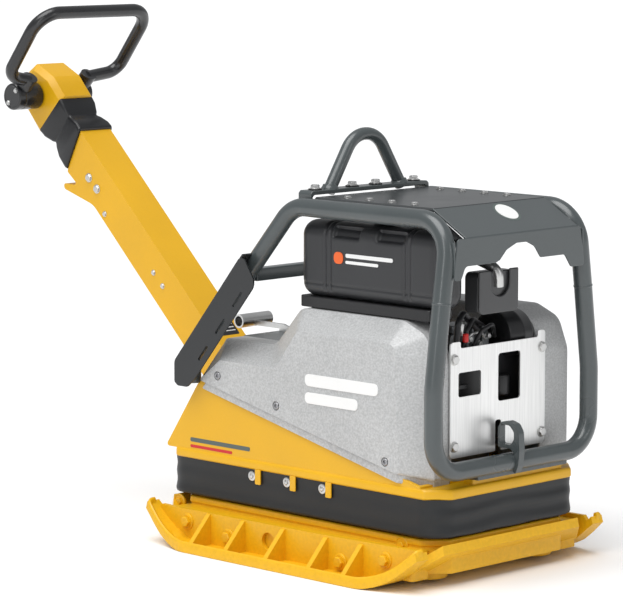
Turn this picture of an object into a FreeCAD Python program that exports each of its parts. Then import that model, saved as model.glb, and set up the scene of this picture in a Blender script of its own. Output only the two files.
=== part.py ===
import FreeCAD, Part
import math
import os
import re

import Sketcher

# Plate compactor: a heavy reversible vibratory plate with a sprung upper deck, a diesel engine in a
# tube frame, and a drawbar with a control handle.
# Frame: millimetres, origin at the middle of the base plate's contact face, +X forward, +Z up.

Vec = FreeCAD.Vector

# name, value (mm, or degrees where the note says so), what it is
SIZES = [
    # base plate and its bolted extensions
    ("lip_x", 442, "base plate: half length at the tips"),
    ("lip_z", 80, "base plate: height of the tips' underside"),
    ("bend_x", 345, "base plate: where the underside turns up"),
    ("bend_radius", 200, "base plate: radius of the upturn"),
    ("plate_wall", 18, "base plate: thickness"),
    ("core_y", 280, "base plate: half width without extensions"),
    ("corner_cut", 50, "base plate: corner taken off in plan"),
    ("upstand_x", 424, "base plate: half length of the upstand"),
    ("upstand_y", 236, "base plate: half width of the upstand"),
    ("upstand_z", 107, "base plate: top of the upstand"),
    ("upstand_wall", 14, "base plate: wall of the upstand"),
    ("rail_x", 392, "base plate: half length of the side rail"),
    ("rail_z", 84, "base plate: top of the side rail"),
    ("floor_z", 12, "base plate: level inside which ribs and posts start"),
    ("plate_y", 355, "extension: half width over the extensions"),
    ("tip_y", 318, "extension: half width at the tips"),
    ("straight_x", 285, "extension: half length of the straight outer edge"),
    ("web_wall", 11, "extension: web thickness"),
    ("rim_wall", 9, "extension: outer rim thickness"),
    ("rim_rise", 26, "extension: height of the outer rim"),
    ("rib_wall", 12, "extension: gusset thickness"),
    ("rib_pitch", 122, "extension: gusset spacing"),
    ("rib_count", 5, "extension: number of gussets"),
    ("vent_radius", 19, "extension: hole in the web"),
    ("vent_x", -56, "extension: where the hole is"),
    ("web_bolt_z", 56, "extension: height of the bolts"),
    ("web_bolt_out", 322, "extension: outer bolts, from the middle"),
    ("web_bolt_in", 184, "extension: inner bolts, from the middle"),
    # buffers between base and chassis
    ("post_x", 345, "buffer: distance from the middle, lengthwise"),
    ("post_y", 178, "buffer: distance from the middle, crosswise"),
    ("post_z", 140, "buffer: top of its post"),
    ("post_radius", 40, "buffer: radius"),
    ("deck_z", 211, "chassis: underside of the deck"),
    ("pocket_z", 88, "base plate: height of the buffer bolt pockets"),
    ("pocket_rear_x", -404, "base plate: rear buffer bolt pocket"),
    ("pocket_front_x", 322, "base plate: front buffer bolt pocket"),
    ("pocket_radius", 17, "base plate: radius of those pockets"),
    ("pocket_deep", 8, "base plate: depth of those pockets"),
    # exciter
    ("shaft_x", 50, "exciter: each shaft's distance from the middle"),
    ("shaft_z", 98, "exciter: height of the shafts"),
    ("shaft_radius", 20, "exciter: shaft radius"),
    ("housing_x", 118, "exciter: half length of the housing"),
    ("housing_y", 150, "exciter: half width of the housing"),
    ("housing_z", 170, "exciter: top of the housing"),
    ("housing_wall", 12, "exciter: housing wall"),
    ("cover_wall", 14, "exciter: end cover thickness"),
    ("bearing_radius", 40, "exciter: bearing outer radius"),
    ("bearing_width", 24, "exciter: bearing width"),
    ("bearing_gap", 0.05, "exciter: running gap in the bearings"),
    ("weight_radius", 43, "exciter: eccentric weight radius"),
    ("weight_half", 95, "exciter: eccentric weights' reach each side"),
    ("gear_radius", 50, "exciter: gear pitch radius"),
    ("gear_width", 22, "exciter: gear width"),
    ("tooth_depth", 4, "exciter: how far the gear's outside passes the pitch circle"),
    ("tooth_count", 30, "exciter: teeth on each gear"),
    ("pulley_y", 187, "belt: its middle plane"),
    ("pulley_small", 46, "belt: radius of the exciter pulley"),
    ("pulley_large", 64, "belt: radius of the clutch pulley"),
    ("pulley_width", 26, "belt: pulley width"),
    ("belt_half", 4.9, "belt: half of its width"),
    ("belt_out", 2, "belt: outer face below the pulleys' rims"),
    ("belt_in", 10, "belt: inner face below the pulleys' rims"),
    # chassis
    ("rim_low", 200, "chassis: underside of the rim"),
    ("rim_top", 223, "chassis: top of the rim"),
    ("rim_front", 440, "chassis: front end"),
    ("rim_rear", -455, "chassis: rear end"),
    ("rim_y", 248, "chassis: half width"),
    ("rim_corner", 46, "chassis: corner taken off in plan"),
    ("chassis_wall", 8, "chassis: wall thickness"),
    ("wedge_x", -337, "chassis: top of the rear slope"),
    ("wedge_z", 381, "chassis: height of the rear slope"),
    ("ledge_low_y", -123, "chassis: front ledge, near end"),
    ("ledge_high_y", 181, "chassis: front ledge, far end"),
    ("ledge_z", 234, "chassis: top of the front ledge"),
    ("ledge_x", 400, "chassis: rear edge of the front ledge"),
    # skirt
    ("skirt_low", 113, "skirt: lower edge"),
    ("skirt_wall", 6, "skirt: thickness"),
    ("skirt_y", 246, "skirt: half width"),
    ("skirt_front", 434, "skirt: front end"),
    ("skirt_rear", -448, "skirt: rear end"),
    ("skirt_radius", 60, "skirt: corner radius"),
    ("skirt_bolt_first", -151, "skirt: first bolt"),
    ("skirt_bolt_pitch", 115, "skirt: bolt spacing"),
    ("skirt_bolt_z", 185, "skirt: height of the bolts"),
    # hoods
    ("hood_y", 255, "hood: side face"),
    ("hood_bevel_y", 205, "hood: inner edge of the bevel"),
    ("hood_inner_y", 150, "hood: inner edge of the top"),
    ("hood_wall", 5, "hood: casting thickness"),
    ("hood_rear_x", -320, "hood: rear lower corner"),
    ("hood_rear_z", 393, "hood: height of the rear lower corner"),
    ("hood_front_x", 388, "hood: front face"),
    ("hood_front_z", 232, "hood: height of the front lower corner"),
    ("hood_edge_x", 312, "hood: front edge of the side face"),
    ("hood_low_z", 447, "hood: shoulder of the side face, rear"),
    ("hood_high_z", 540, "hood: shoulder of the side face, front"),
    ("hood_low_top", 492, "hood: rear top"),
    ("hood_top", 587, "hood: front top"),
    ("hood_round", 92, "hood: radius of the front top corner"),
    ("hood_step_x", 5, "hood: upper end of the side face's step"),
    ("hood_foot_x", -64, "hood: lower end of the side face's step"),
    ("hood_back_x", -250, "hood: rear end of the side face's low part"),
    ("crown_step_x", -27, "hood: upper end of the crown's step"),
    ("crown_foot_x", -112, "hood: lower end of the crown's step"),
    ("crown_back_x", -280, "hood: rear end of the crown's low part"),
    ("screw_rear_x", -258, "hood: rear screw, place"),
    ("screw_rear_z", 409, "hood: rear screw, height"),
    ("screw_mid_x", -63, "hood: middle screw, place"),
    ("screw_mid_z", 360, "hood: middle screw, height"),
    ("screw_front_x", 283, "hood: front screw, place"),
    ("screw_front_z", 273, "hood: front screw, height"),
    ("screw_pit", 11, "hood: radius of the screw's pit"),
    ("screw_deep", 3.6, "hood: depth of the screw's pit"),
    # stainless front panel
    ("panel_x", 390, "front panel: rear face"),
    ("panel_wall", 4, "front panel: thickness"),
    ("panel_y", 160, "front panel: half width"),
    ("panel_low", 281, "front panel: lower edge"),
    ("panel_top", 542, "front panel: upper edge"),
    ("panel_notch", 527, "front panel: bottom of the shallow notch in its top"),
    ("window_low_y", -1, "front panel: window, near edge"),
    ("window_high_y", 74, "front panel: window, far edge"),
    ("window_low", 394, "front panel: window, lower edge"),
    ("window_top", 503, "front panel: window, upper edge"),
    ("slot_y", 10, "front panel: half width of the lower slot"),
    ("slot_top", 352, "front panel: top of the lower slot"),
    ("plate_low_y", -134, "front panel: small window, near edge"),
    ("plate_high_y", -59, "front panel: small window, far edge"),
    ("plate_low", 417, "front panel: small window, lower edge"),
    ("plate_top", 472, "front panel: small window, upper edge"),
    ("panel_bolt_y", 148, "front panel: bolts from the middle"),
    ("panel_bolt_low", 307, "front panel: lower bolts"),
    ("panel_bolt_high", 503, "front panel: upper bolts"),
    # tube frame
    ("tube_radius", 21.2, "frame: tube outer radius"),
    ("tube_wall", 3.6, "frame: tube wall"),
    ("hoop_x", 438, "frame: plane of the front hoop"),
    ("hoop_y", 263, "frame: half width low down, at the tube's centre"),
    ("hoop_low", 262, "frame: centre of the bottom bar"),
    ("hoop_knee", 450, "frame: where the uprights start to lean in"),
    ("hoop_split", 640, "frame: weld between the hoop and the side tubes"),
    ("hoop_split_y", 237.84, "frame: half width at that weld"),
    ("hoop_bend", 78, "frame: bend radius of the lower corners"),
    ("top_y", 214, "frame: half width at the top"),
    ("top_z", 820, "frame: height of the side tubes' centre"),
    ("top_bend", 82, "frame: bend radius at the top"),
    ("rear_top_x", -47, "frame: where the side tubes turn down"),
    ("rear_knee_x", -350, "frame: knee of the rear legs"),
    ("rear_knee_y", 249, "frame: half width at that knee"),
    ("rear_knee_z", 446, "frame: height of that knee"),
    ("rear_foot_z", 392, "frame: lower end of the rear legs"),
    ("guard_wall", 4, "rear guard: sheet thickness"),
    ("guard_tip_x", -154, "rear guard: upper tip"),
    ("guard_tip_z", 706, "rear guard: height of the upper tip"),
    ("guard_rear_x", -384, "rear guard: rear edge"),
    ("guard_bend_z", 435, "rear guard: where the rear edge turns upright"),
    ("guard_low_z", 384, "rear guard: lower end of the rear edge"),
    ("guard_front_x", -316, "rear guard: lower front corner"),
    ("guard_fold", 48, "rear guard: width of the folded flange"),
    ("brace_wall", 3, "cross brace: wall"),
    ("guard_y", 276, "rear guard: outer face"),
    ("brace_x", -186, "cross brace: place"),
    ("brace_z", 650, "cross brace: height"),
    ("brace_half", 15, "cross brace: half of its section"),
    ("brace_y", 206, "cross brace: half length"),
    ("lug_half_x", 24, "front lug: half length"),
    ("eye_low_y", -12, "tow eye: near face"),
    ("eye_high_y", 6, "tow eye: far face"),
    ("eye_x", 434, "tow eye: centre of the ring"),
    ("eye_z", 323, "tow eye: height of the ring's centre"),
    ("eye_radius", 32, "tow eye: outer radius"),
    ("eye_hole", 20, "tow eye: hole radius"),
    # top cover, visor and lifting eye
    ("cover_z", 838, "top cover: underside"),
    ("sheet_wall", 4, "top cover and visor: sheet thickness"),
    ("cover_front", 361, "top cover: front edge"),
    ("cover_y", 188, "top cover: half width"),
    ("cover_bolt_y", 155, "top cover: bolts from the middle"),
    ("cover_bolt_first", 70, "top cover: first bolt"),
    ("cover_bolt_pitch", 69.3, "top cover: bolt spacing"),
    ("visor_x", 460, "visor: back of its front face"),
    ("fold_z", 783, "visor: height of the fold"),
    ("fold_low_y", -218, "visor: near end of the fold"),
    ("fold_high_y", 197, "visor: far end of the fold"),
    ("visor_low_y", -226, "visor: near edge of the front face"),
    ("visor_high_y", 212, "visor: far edge of the front face"),
    ("visor_leg_low", -203, "visor: inner edge of the near leg"),
    ("visor_leg_high", 166, "visor: inner edge of the far leg"),
    ("visor_leg_z", 691, "visor: bottom of the legs"),
    ("visor_mid_low", -189, "visor: near end of the middle part"),
    ("visor_mid_high", 144, "visor: far end of the middle part"),
    ("visor_mid_z", 721, "visor: bottom of the middle part"),
    ("arch_low_y", -54, "visor: arch, near end"),
    ("arch_high_y", 40, "visor: arch, far end"),
    ("arch_z", 760, "visor: top of the arch"),
    ("bracket_low_y", -199, "lifting bracket: near end"),
    ("bracket_high_y", 197, "lifting bracket: far end"),
    ("bracket_z", 842, "lifting bracket: underside"),
    ("bracket_top", 856, "lifting bracket: top"),
    ("bracket_rear", -46, "lifting bracket: rear edge"),
    ("bracket_front", -4, "lifting bracket: front edge"),
    ("lift_x", -25, "lifting eye: place"),
    ("lift_radius", 15, "lifting eye: bar radius"),
    ("lift_foot", 121, "lifting eye: half width at the feet"),
    ("lift_crown", 39, "lifting eye: half width at the crown's corners"),
    ("lift_top", 976, "lifting eye: height of the bar's centre at the crown"),
    ("lift_bend", 69, "lifting eye: bend radius"),
    # rear deck
    ("rear_deck_z", 492, "rear deck: underside"),
    ("rear_deck_rear", -282, "rear deck: rear edge"),
    ("rear_deck_front", -40, "rear deck: front edge"),
    ("rear_deck_wall", 5, "rear deck: thickness"),
    # engine
    ("crank_x", 150, "engine: crankshaft place"),
    ("crank_z", 360, "engine: crankshaft height"),
    ("crank_radius", 22, "engine: crankshaft radius"),
    ("case_rear", 40, "engine: crankcase rear face"),
    ("case_front", 262, "engine: crankcase front face"),
    ("case_y", 118, "engine: crankcase half width"),
    ("case_low", 223, "engine: crankcase underside"),
    ("case_top", 462, "engine: crankcase top"),
    ("cylinder_radius", 62, "engine: cylinder fin radius"),
    ("cylinder_x", 150, "engine: cylinder place"),
    ("head_top", 600, "engine: top of the cylinder head"),
    ("fin_pitch", 14, "engine: cooling fin spacing"),
    ("fin_count", 8, "engine: number of cooling fins"),
    ("fin_first", 6, "engine: first fin above the crankcase"),
    ("fin_wall", 5, "engine: fin thickness"),
    ("crank_gap", 0.06, "engine: running gap round the crankshaft"),
    ("flywheel_radius", 110, "engine: flywheel radius"),
    ("flywheel_width", 42, "engine: flywheel width"),
    ("flywheel_y", -190, "engine: flywheel's outer face"),
    ("filter_x", 318, "air filter: centre"),
    ("filter_z", 531, "air filter: centre height"),
    ("filter_radius", 60, "air filter: radius"),
    ("filter_low_y", 60, "air filter: near end"),
    ("filter_high_y", 146, "air filter: far end"),
    ("muffler_front", 400, "silencer: front face"),
    ("muffler_rear", 350, "silencer: rear face"),
    ("muffler_low_y", -72, "silencer: near face"),
    ("muffler_high_y", 60, "silencer: far face"),
    ("muffler_low", 596, "silencer: underside"),
    ("muffler_top", 694, "silencer: top"),
    ("muffler_round", 14, "silencer: radius of its edges"),
    ("mouth_deep", 30, "silencer: depth of the outlet"),
    ("mouth_y", -6, "silencer: outlet, crosswise"),
    ("mouth_z", 672, "silencer: outlet, height"),
    ("mouth_radius", 24, "silencer: outlet radius"),
    # fuel tank
    ("tank_rear", -47, "tank: rear end"),
    ("tank_front", 400, "tank: front end"),
    ("tank_low_y", -200, "tank: near face"),
    ("tank_high_y", -112, "tank: far face"),
    ("tank_low", 613, "tank: underside"),
    ("tank_top", 790, "tank: top"),
    ("tank_round", 40, "tank: radius of the long edges"),
    ("neck_x", 172, "tank: filler neck place"),
    ("neck_radius", 26, "tank: filler neck radius"),
    # drawbar, in its own frame: first size along the beam from the pivot, second across it
    ("pivot_x", -440, "drawbar: pivot place"),
    ("pivot_z", 347.5, "drawbar: pivot height"),
    ("drawbar_slope", 44.13, "drawbar: slope at rest, degrees"),
    ("beam_half", 50, "drawbar: half of the beam's section"),
    ("beam_wall", 5, "drawbar: plate thickness"),
    ("beam_end", 800, "drawbar: upper end of the beam"),
    ("beam_cut", 762, "drawbar: upper end on the underside"),
    ("hook_root", 630, "drawbar: where the hook starts"),
    ("hook_tip", 738, "drawbar: tip of the hook"),
    ("hook_deep", 103, "drawbar: how far the hook hangs from the centre"),
    ("hook_notch", 702, "drawbar: end of the hook's notch"),
    ("pin_radius", 15, "drawbar: pivot pin radius"),
    ("pin_gap", 0.06, "drawbar: radial clearance on the pin"),
    ("cheek_y", 56, "drawbar bracket: inner face of the cheeks"),
    ("cheek_wall", 14, "drawbar bracket: cheek thickness"),
    ("boot_low", 758, "boot: lower end, underside"),
    ("boot_low_front", 793, "boot: lower end, top side"),
    ("boot_waist", 842, "boot: waist"),
    ("boot_top", 898, "boot: upper end"),
    ("boot_half", 56, "boot: half width at the lower end"),
    ("head_half", 57, "head: half width"),
    ("head_chamfer", 14, "head: bevel of the long edges"),
    ("grip_pivot", 965, "handle: pivot, along the beam"),
    ("grip_pivot_up", -3, "handle: pivot, across the beam"),
    ("grip_pin_radius", 12, "handle: shaft radius"),
    ("hub_radius", 34, "handle: hub radius"),
    ("hub_in", 60, "handle: hub inner face"),
    ("hub_out", 139, "handle: hub outer face"),
    ("hub_short", 106, "handle: outer face of the other hub"),
    ("boss_radius", 19, "handle: radius of the hub's socket"),
    ("boss_y", 112, "handle: middle of the socket"),
    ("boss_short", 84, "handle: middle of the other hub's socket"),
    ("grip_radius", 16, "handle: loop tube radius"),
    ("grip_y", 176, "handle: the loop's reach on the long hub's side"),
    ("grip_short", 190, "handle: the loop's reach on the other side"),
    ("grip_low", 57, "handle: lower corners, across the beam"),
    ("grip_high", 264, "handle: upper corners, across the beam"),
    ("grip_lean", 19, "handle: how far the loop leans towards its top"),
    ("grip_bend_low", 38, "handle: lower bend radius"),
    ("grip_bend_high", 62, "handle: upper bend radius"),
    # drawbar stop and small controls
    ("stop_x", -372, "drawbar stop: place"),
    ("stop_z", 510, "drawbar stop: height"),
    ("stop_radius", 16.5, "drawbar stop: radius"),
    ("stop_low_y", -76, "drawbar stop: near end"),
    ("stop_high_y", 24, "drawbar stop: far end"),
    ("lever_y", 36, "stop lever: pivot, crosswise"),
    ("lever_z", 422, "stop lever: pivot height"),
    ("neck_in", 60, "fuel tank: neck from the near side"),
    ("lever_reach", 34, "stop lever: length of the arm"),
    ("cap_radius", 21, "deck cap: radius"),
    ("cap_x", -150, "deck cap: place"),
    # fasteners
    ("bolt_head", 8.5, "fasteners: small head, half across flats"),
    ("bolt_thick", 6, "fasteners: small head height"),
    ("bolt_large_head", 13, "fasteners: large head, half across flats"),
    ("bolt_large_thick", 10, "fasteners: large head height"),
]
ALIASES = {alias for alias, _, _ in SIZES}
WORD = re.compile(r"[A-Za-z_][A-Za-z_0-9]*")

doc = FreeCAD.newDocument("plate_compactor")
sheet = doc.addObject("Spreadsheet::Sheet", "Sizes")
finished = []


# ---- sheet, placement and primitive helpers ----

def fill_sheet():
    """Write the driving sizes, one a row, each with its alias."""
    for row, (alias, size, note) in enumerate(SIZES, start=1):
        sheet.set(f"A{row}", note)
        sheet.set(f"B{row}", str(size))
        sheet.setAlias(f"B{row}", alias)
    doc.recompute()


def cells(text):
    """The expression with every size name in it pointed at the sheet."""
    return WORD.sub(lambda word: "Sizes." + word[0] if word[0] in ALIASES else word[0], str(text))


def value(text):
    """What an expression of size names comes to."""
    return float(sheet.evalExpression(cells(text)))


def place(item, x, y, z, turn=FreeCAD.Rotation()):
    """Put an object at expressions of size names, turned."""
    item.Placement = FreeCAD.Placement(Vec(value(x), value(y), value(z)), turn)
    for letter, text in (("x", x), ("y", y), ("z", z)):
        item.setExpression(f".Placement.Base.{letter}", cells(text))
    return item


def box(name, x, y, z):
    """Block that spans three pairs of expressions."""
    item = doc.addObject("Part::Box", name)
    for side, (low, high) in zip(("Length", "Width", "Height"), (x, y, z)):
        item.setExpression(side, cells(f"({high}) - ({low})"))
    return place(item, x[0], y[0], z[0])


ALONG = {
    "X": FreeCAD.Rotation(Vec(0, 1, 0), 90),
    "Y": FreeCAD.Rotation(Vec(1, 0, 0), -90),
    "Z": FreeCAD.Rotation(),
}


def on_axis(axis, start, centre):
    """Corner expressions of something that starts at start on an axis through centre."""
    return {"X": (start, *centre), "Y": (centre[0], start, centre[1]), "Z": (*centre, start)}[axis]


def rod(name, axis, radius, span, centre):
    """Cylinder along an axis, from span[0] to span[1], through the other two coordinates."""
    item = doc.addObject("Part::Cylinder", name)
    item.setExpression("Radius", cells(radius))
    item.setExpression("Height", cells(f"({span[1]}) - ({span[0]})"))
    return place(item, *on_axis(axis, span[0], centre), ALONG[axis])


def prism(name, axis, half_flats, span, centre):
    """Hexagonal head along an axis, with its size across flats."""
    item = doc.addObject("Part::Prism", name)
    item.Polygon = 6
    item.setExpression("Circumradius", cells(f"({half_flats}) / cos(30)"))
    item.setExpression("Height", cells(f"({span[1]}) - ({span[0]})"))
    return place(item, *on_axis(axis, span[0], centre), ALONG[axis])


def fuse(name, *items):
    """One solid out of several."""
    item = doc.addObject("Part::MultiFuse", name)
    item.Shapes = list(items)
    item.Refine = True
    return item


def cut(name, base, *tools):
    """A base with tools taken away."""
    item = doc.addObject("Part::Cut", name)
    item.Base = base
    item.Tool = tools[0] if len(tools) == 1 else fuse(name + "_tools", *tools)
    item.Refine = True
    return item


def group(name, items):
    """Separate solids in one node."""
    item = doc.addObject("Part::Compound", name)
    item.Links = list(items)
    return item


def mirrored(name, source):
    """The same piece on the other side of the machine."""
    item = doc.addObject("Part::Mirroring", name)
    item.Source = source
    item.Base = Vec(0, 0, 0)
    item.Normal = Vec(0, 1, 0)
    return item


def made(label):
    """A finished sub-part."""
    return next(item for item in finished if item.Label == label)


def keep(item, label):
    """Register a finished sub-part under its node name."""
    item.Label = label
    finished.append(item)
    return item


# ---- sketched bodies ----

def new_body(name):
    """Empty design body."""
    return doc.addObject("PartDesign::Body", name)


def origin_plane(body, role):
    """One of the body's own origin planes."""
    return next(item for item in body.Origin.OriginFeatures if item.Role == role)


def sketch(body, role, *loops, offset="0"):
    """Sketch of closed polygons; each corner is a pair of expressions and is bound to them."""
    item = body.newObject("Sketcher::SketchObject", body.Name + "_sketch")
    item.AttachmentSupport = (origin_plane(body, role), "")
    item.MapMode = "FlatFace"
    item.setExpression(".AttachmentOffset.Base.z", cells(offset))
    for corners in loops:
        add_loop(item, corners)
    return item


def add_loop(item, corners):
    """One closed polygon of a sketch."""
    first = item.GeometryCount
    count = len(corners)
    ends = [Vec(value(across), value(up), 0) for across, up in corners]
    for index in range(count):
        item.addGeometry(Part.LineSegment(ends[index], ends[(index + 1) % count]), False)
    for index in range(count):
        after = first + (index + 1) % count
        item.addConstraint(Sketcher.Constraint("Coincident", first + index, 2, after, 1))
    for index, texts in enumerate(corners):
        for kind, text in zip(("DistanceX", "DistanceY"), texts):
            rule = Sketcher.Constraint(kind, -1, 1, first + index, 1, value(text))
            number = item.addConstraint(rule)
            item.setExpression(f"Constraints[{number}]", cells(text))


def circle_sketch(body, role, centre, radius, offset="0"):
    """Sketch of one circle bound to expressions."""
    item = sketch(body, role, offset=offset)
    middle = Vec(value(centre[0]), value(centre[1]), 0)
    item.addGeometry(Part.Circle(middle, Vec(0, 0, 1), value(radius)), False)
    rules = [("DistanceX", centre[0]), ("DistanceY", centre[1])]
    for kind, text in rules:
        number = item.addConstraint(Sketcher.Constraint(kind, -1, 1, 0, 3, value(text)))
        item.setExpression(f"Constraints[{number}]", cells(text))
    number = item.addConstraint(Sketcher.Constraint("Radius", 0, value(radius)))
    item.setExpression(f"Constraints[{number}]", cells(radius))
    return item


def extrude(body, kind, profile, length, middle=False, back=False):
    """Pad or Pocket of a sketch, by an expression."""
    item = body.newObject("PartDesign::" + kind, f"{body.Name}_{kind}")
    item.Profile = profile
    item.setExpression("Length", cells(length))
    item.Midplane = middle
    item.Reversed = back
    doc.recompute()
    return item


def pad(body, profile, length, middle=False, back=False):
    """Material added from a sketch."""
    return extrude(body, "Pad", profile, length, middle, back)


def pocket(body, profile, length, middle=False, back=False):
    """Material taken away from a sketch; it has to take something away."""
    before = body.Shape.Volume
    item = extrude(body, "Pocket", profile, length, middle, back)
    assert body.Shape.Volume < before - 1, f"{body.Name}: a pocket takes nothing away"
    return item


def loft(body, kind, first, last):
    """Additive or subtractive loft from one sketch to another."""
    item = body.newObject("PartDesign::" + kind, f"{body.Name}_{kind}")
    item.Profile = first
    item.Sections = [last]
    item.Ruled = True
    doc.recompute()
    return item


def dress(body, kind, size, test):
    """Fillet or Chamfer of the edges of the body that pass a test."""
    base = body.Tip
    names = [f"Edge{n}" for n, edge in enumerate(base.Shape.Edges, start=1) if test(edge)]
    assert names, f"{body.Name}: no edge to dress"
    item = body.newObject("PartDesign::" + kind, f"{body.Name}_{kind}")
    item.Base = (base, names)
    item.setExpression("Radius" if kind == "Fillet" else "Size", cells(size))
    doc.recompute()
    return item


def runs_along(edge, axis):
    """True for a straight edge along an axis."""
    ends = [vertex.Point for vertex in edge.Vertexes]
    if len(ends) != 2 or edge.Curve.TypeId != "Part::GeomLine":
        return False
    run = ends[1] - ends[0]
    return abs(run.dot(axis)) > 0.999 * run.Length


def middle_of(edge):
    """Middle of a straight edge."""
    return edge.CenterOfMass


X_AXIS, Y_AXIS, Z_AXIS = Vec(1, 0, 0), Vec(0, 1, 0), Vec(0, 0, 1)


# ---- bent tubes and bars ----

def bent_path(points, radii):
    """Wire of straight runs joined by tangent arcs, one radius for each inner point."""
    edges = []
    start = points[0]
    for before, corner, after, radius in zip(points, points[1:], points[2:], radii):
        into = (before - corner).normalize()
        out = (after - corner).normalize()
        half_turn = (math.pi - into.getAngle(out)) / 2
        reach = radius * math.tan(half_turn)
        entry = corner + into * reach
        leave = corner + out * reach
        centre = corner + (into + out).normalize() * (radius / math.cos(half_turn))
        middle = centre + (corner - centre).normalize() * radius
        edges.append(Part.LineSegment(start, entry).toShape())
        edges.append(Part.Arc(entry, middle, leave).toShape())
        start = leave
    edges.append(Part.LineSegment(start, points[-1]).toShape())
    return Part.Wire(edges)


def sweep(name, spine, radius):
    """Round bar along a path, its radius bound to an expression."""
    start = spine.Shape.OrderedEdges[0]
    section = doc.addObject("Part::Circle", name + "_section")
    section.setExpression("Radius", cells(radius))
    turn = FreeCAD.Rotation(Z_AXIS, start.tangentAt(start.FirstParameter))
    section.Placement = FreeCAD.Placement(start.valueAt(start.FirstParameter), turn)
    item = doc.addObject("Part::Sweep", name)
    item.Sections = [section]
    item.Spine = (spine, [f"Edge{n}" for n in range(1, len(spine.Shape.Edges) + 1)])
    item.Solid = True
    item.Frenet = False
    return item


def bent_bar(name, corners, radii, radius, wall=None):
    """Bent bar, or tube where a wall is given, through corners of expressions."""
    spine = doc.addObject("Part::Feature", name + "_path")
    points = [Vec(*(value(text) for text in corner)) for corner in corners]
    spine.Shape = bent_path(points, [value(text) for text in radii])
    doc.recompute()
    outside = sweep(name + "_outside", spine, radius)
    if wall is None:
        return outside
    return cut(name, outside, sweep(name + "_bore", spine, f"{radius} - {wall}"))


# ---- base: plate, extensions, buffers ----

def ski_profile(top):
    """Lengthwise outline of the plate; top is its thickness."""
    return [
        ("-bend_x", "0"),
        ("bend_x", "0"),
        ("lip_x", "lip_z"),
        (f"lip_x - {top} * 0.6", f"lip_z + {top} * 0.55"),
        (f"bend_x - {top} * 0.38", top),
        (f"-bend_x + {top} * 0.38", top),
        (f"-lip_x + {top} * 0.6", f"lip_z + {top} * 0.55"),
        ("-lip_x", "lip_z"),
    ]


def bends_of_plate(edge):
    """The four crosswise edges where the plate turns up."""
    middle = middle_of(edge)
    low = middle.z < value("plate_wall + 1")
    return runs_along(edge, Y_AXIS) and low and abs(middle.x) > value("bend_x - plate_wall")


def corner_triangle(sign_x, sign_y):
    """The corner taken off the plate in plan."""
    return [
        (f"{sign_x} * (lip_x - corner_cut * 1.4)", f"{sign_y} * (core_y + 1)"),
        (f"{sign_x} * (lip_x + 1)", f"{sign_y} * (core_y - corner_cut)"),
        (f"{sign_x} * (lip_x + 1)", f"{sign_y} * (core_y + 1)"),
    ]


def rectangle(x, y):
    """Corners of a rectangle between pairs of expressions."""
    return [(x[0], y[0]), (x[1], y[0]), (x[1], y[1]), (x[0], y[1])]


def chamfered(x, y, corner):
    """Corners of a rectangle with its corners taken off."""
    return [
        (f"{x[0]} + {corner}", y[0]),
        (f"{x[1]} - {corner}", y[0]),
        (x[1], f"{y[0]} + {corner}"),
        (x[1], f"{y[1]} - {corner}"),
        (f"{x[1]} - {corner}", y[1]),
        (f"{x[0]} + {corner}", y[1]),
        (x[0], f"{y[1]} - {corner}"),
        (x[0], f"{y[0]} + {corner}"),
    ]


def side_signs():
    """The four quarters of the machine."""
    return [(sign_x, sign_y) for sign_x in (-1, 1) for sign_y in (-1, 1)]


def base_plate():
    """Cast plate with upturned ends, upstand, side rails and buffer posts."""
    body = new_body("base_plate_body")
    pad(body, sketch(body, "XZ_Plane", ski_profile("plate_wall")), "core_y * 2", middle=True)
    dress(body, "Fillet", "bend_radius", bends_of_plate)
    corners = [corner_triangle(*signs) for signs in side_signs()]
    pocket(body, sketch(body, "XY_Plane", *corners), "lip_z * 4", middle=True)
    outer = chamfered(("-upstand_x", "upstand_x"), ("-upstand_y", "upstand_y"), "corner_cut")
    inner_x = ("-upstand_x + upstand_wall", "upstand_x - upstand_wall")
    inner_y = ("-upstand_y + upstand_wall", "upstand_y - upstand_wall")
    wall = sketch(body, "XY_Plane", outer, chamfered(inner_x, inner_y, "corner_cut"), offset="upstand_z")
    pad(body, wall, "upstand_z - lip_z * 0.3", back=True)
    rails = [rectangle(("-rail_x", "rail_x"), ("upstand_y - upstand_wall", "core_y"))]
    rails.append(rectangle(("-rail_x", "rail_x"), ("-core_y", "-upstand_y + upstand_wall")))
    pad(body, sketch(body, "XY_Plane", *rails, offset="rail_z"), "rail_z - lip_z * 0.45", back=True)
    core = sketch(body, "XY_Plane", rectangle(("-bend_x + 20", "bend_x - 20"), ("-core_y", "core_y")))
    pad(body, core, "rail_z * 0.5")
    hollow = rectangle(("-bend_x", "bend_x"), ("-upstand_y + upstand_wall", "upstand_y - upstand_wall"))
    pocket(body, sketch(body, "XY_Plane", hollow, offset="plate_wall"), "rail_z", back=True)
    posts = [
        rod("post", "Z", "post_radius + 4", ("floor_z", "post_z"), (f"{a} * post_x", f"{b} * post_y"))
        for a, b in side_signs()
    ]
    pockets = [
        rod("pocket", "Y", "pocket_radius", (f"{low}", f"{high}"), (x, "pocket_z"))
        for x in ("pocket_rear_x", "pocket_front_x")
        for low, high in (
            ("-upstand_y - 1", "-upstand_y + pocket_deep"),
            ("upstand_y - pocket_deep", "upstand_y + 1"),
        )
    ]
    solid = fuse("base_plate_whole", body, *posts)
    return keep(cut("base_plate_cut", solid, *pockets), "base_plate")


def extension_profile():
    """Lengthwise outline of the web that stands on the extension."""
    return [
        ("-bend_x + 4", "plate_wall * 0.5"),
        ("bend_x - 4", "plate_wall * 0.5"),
        ("lip_x - 16", "lip_z + 2"),
        ("rail_x - 4", "rail_z + 5"),
        ("-rail_x + 4", "rail_z + 5"),
        ("-lip_x + 16", "lip_z + 2"),
    ]


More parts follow.
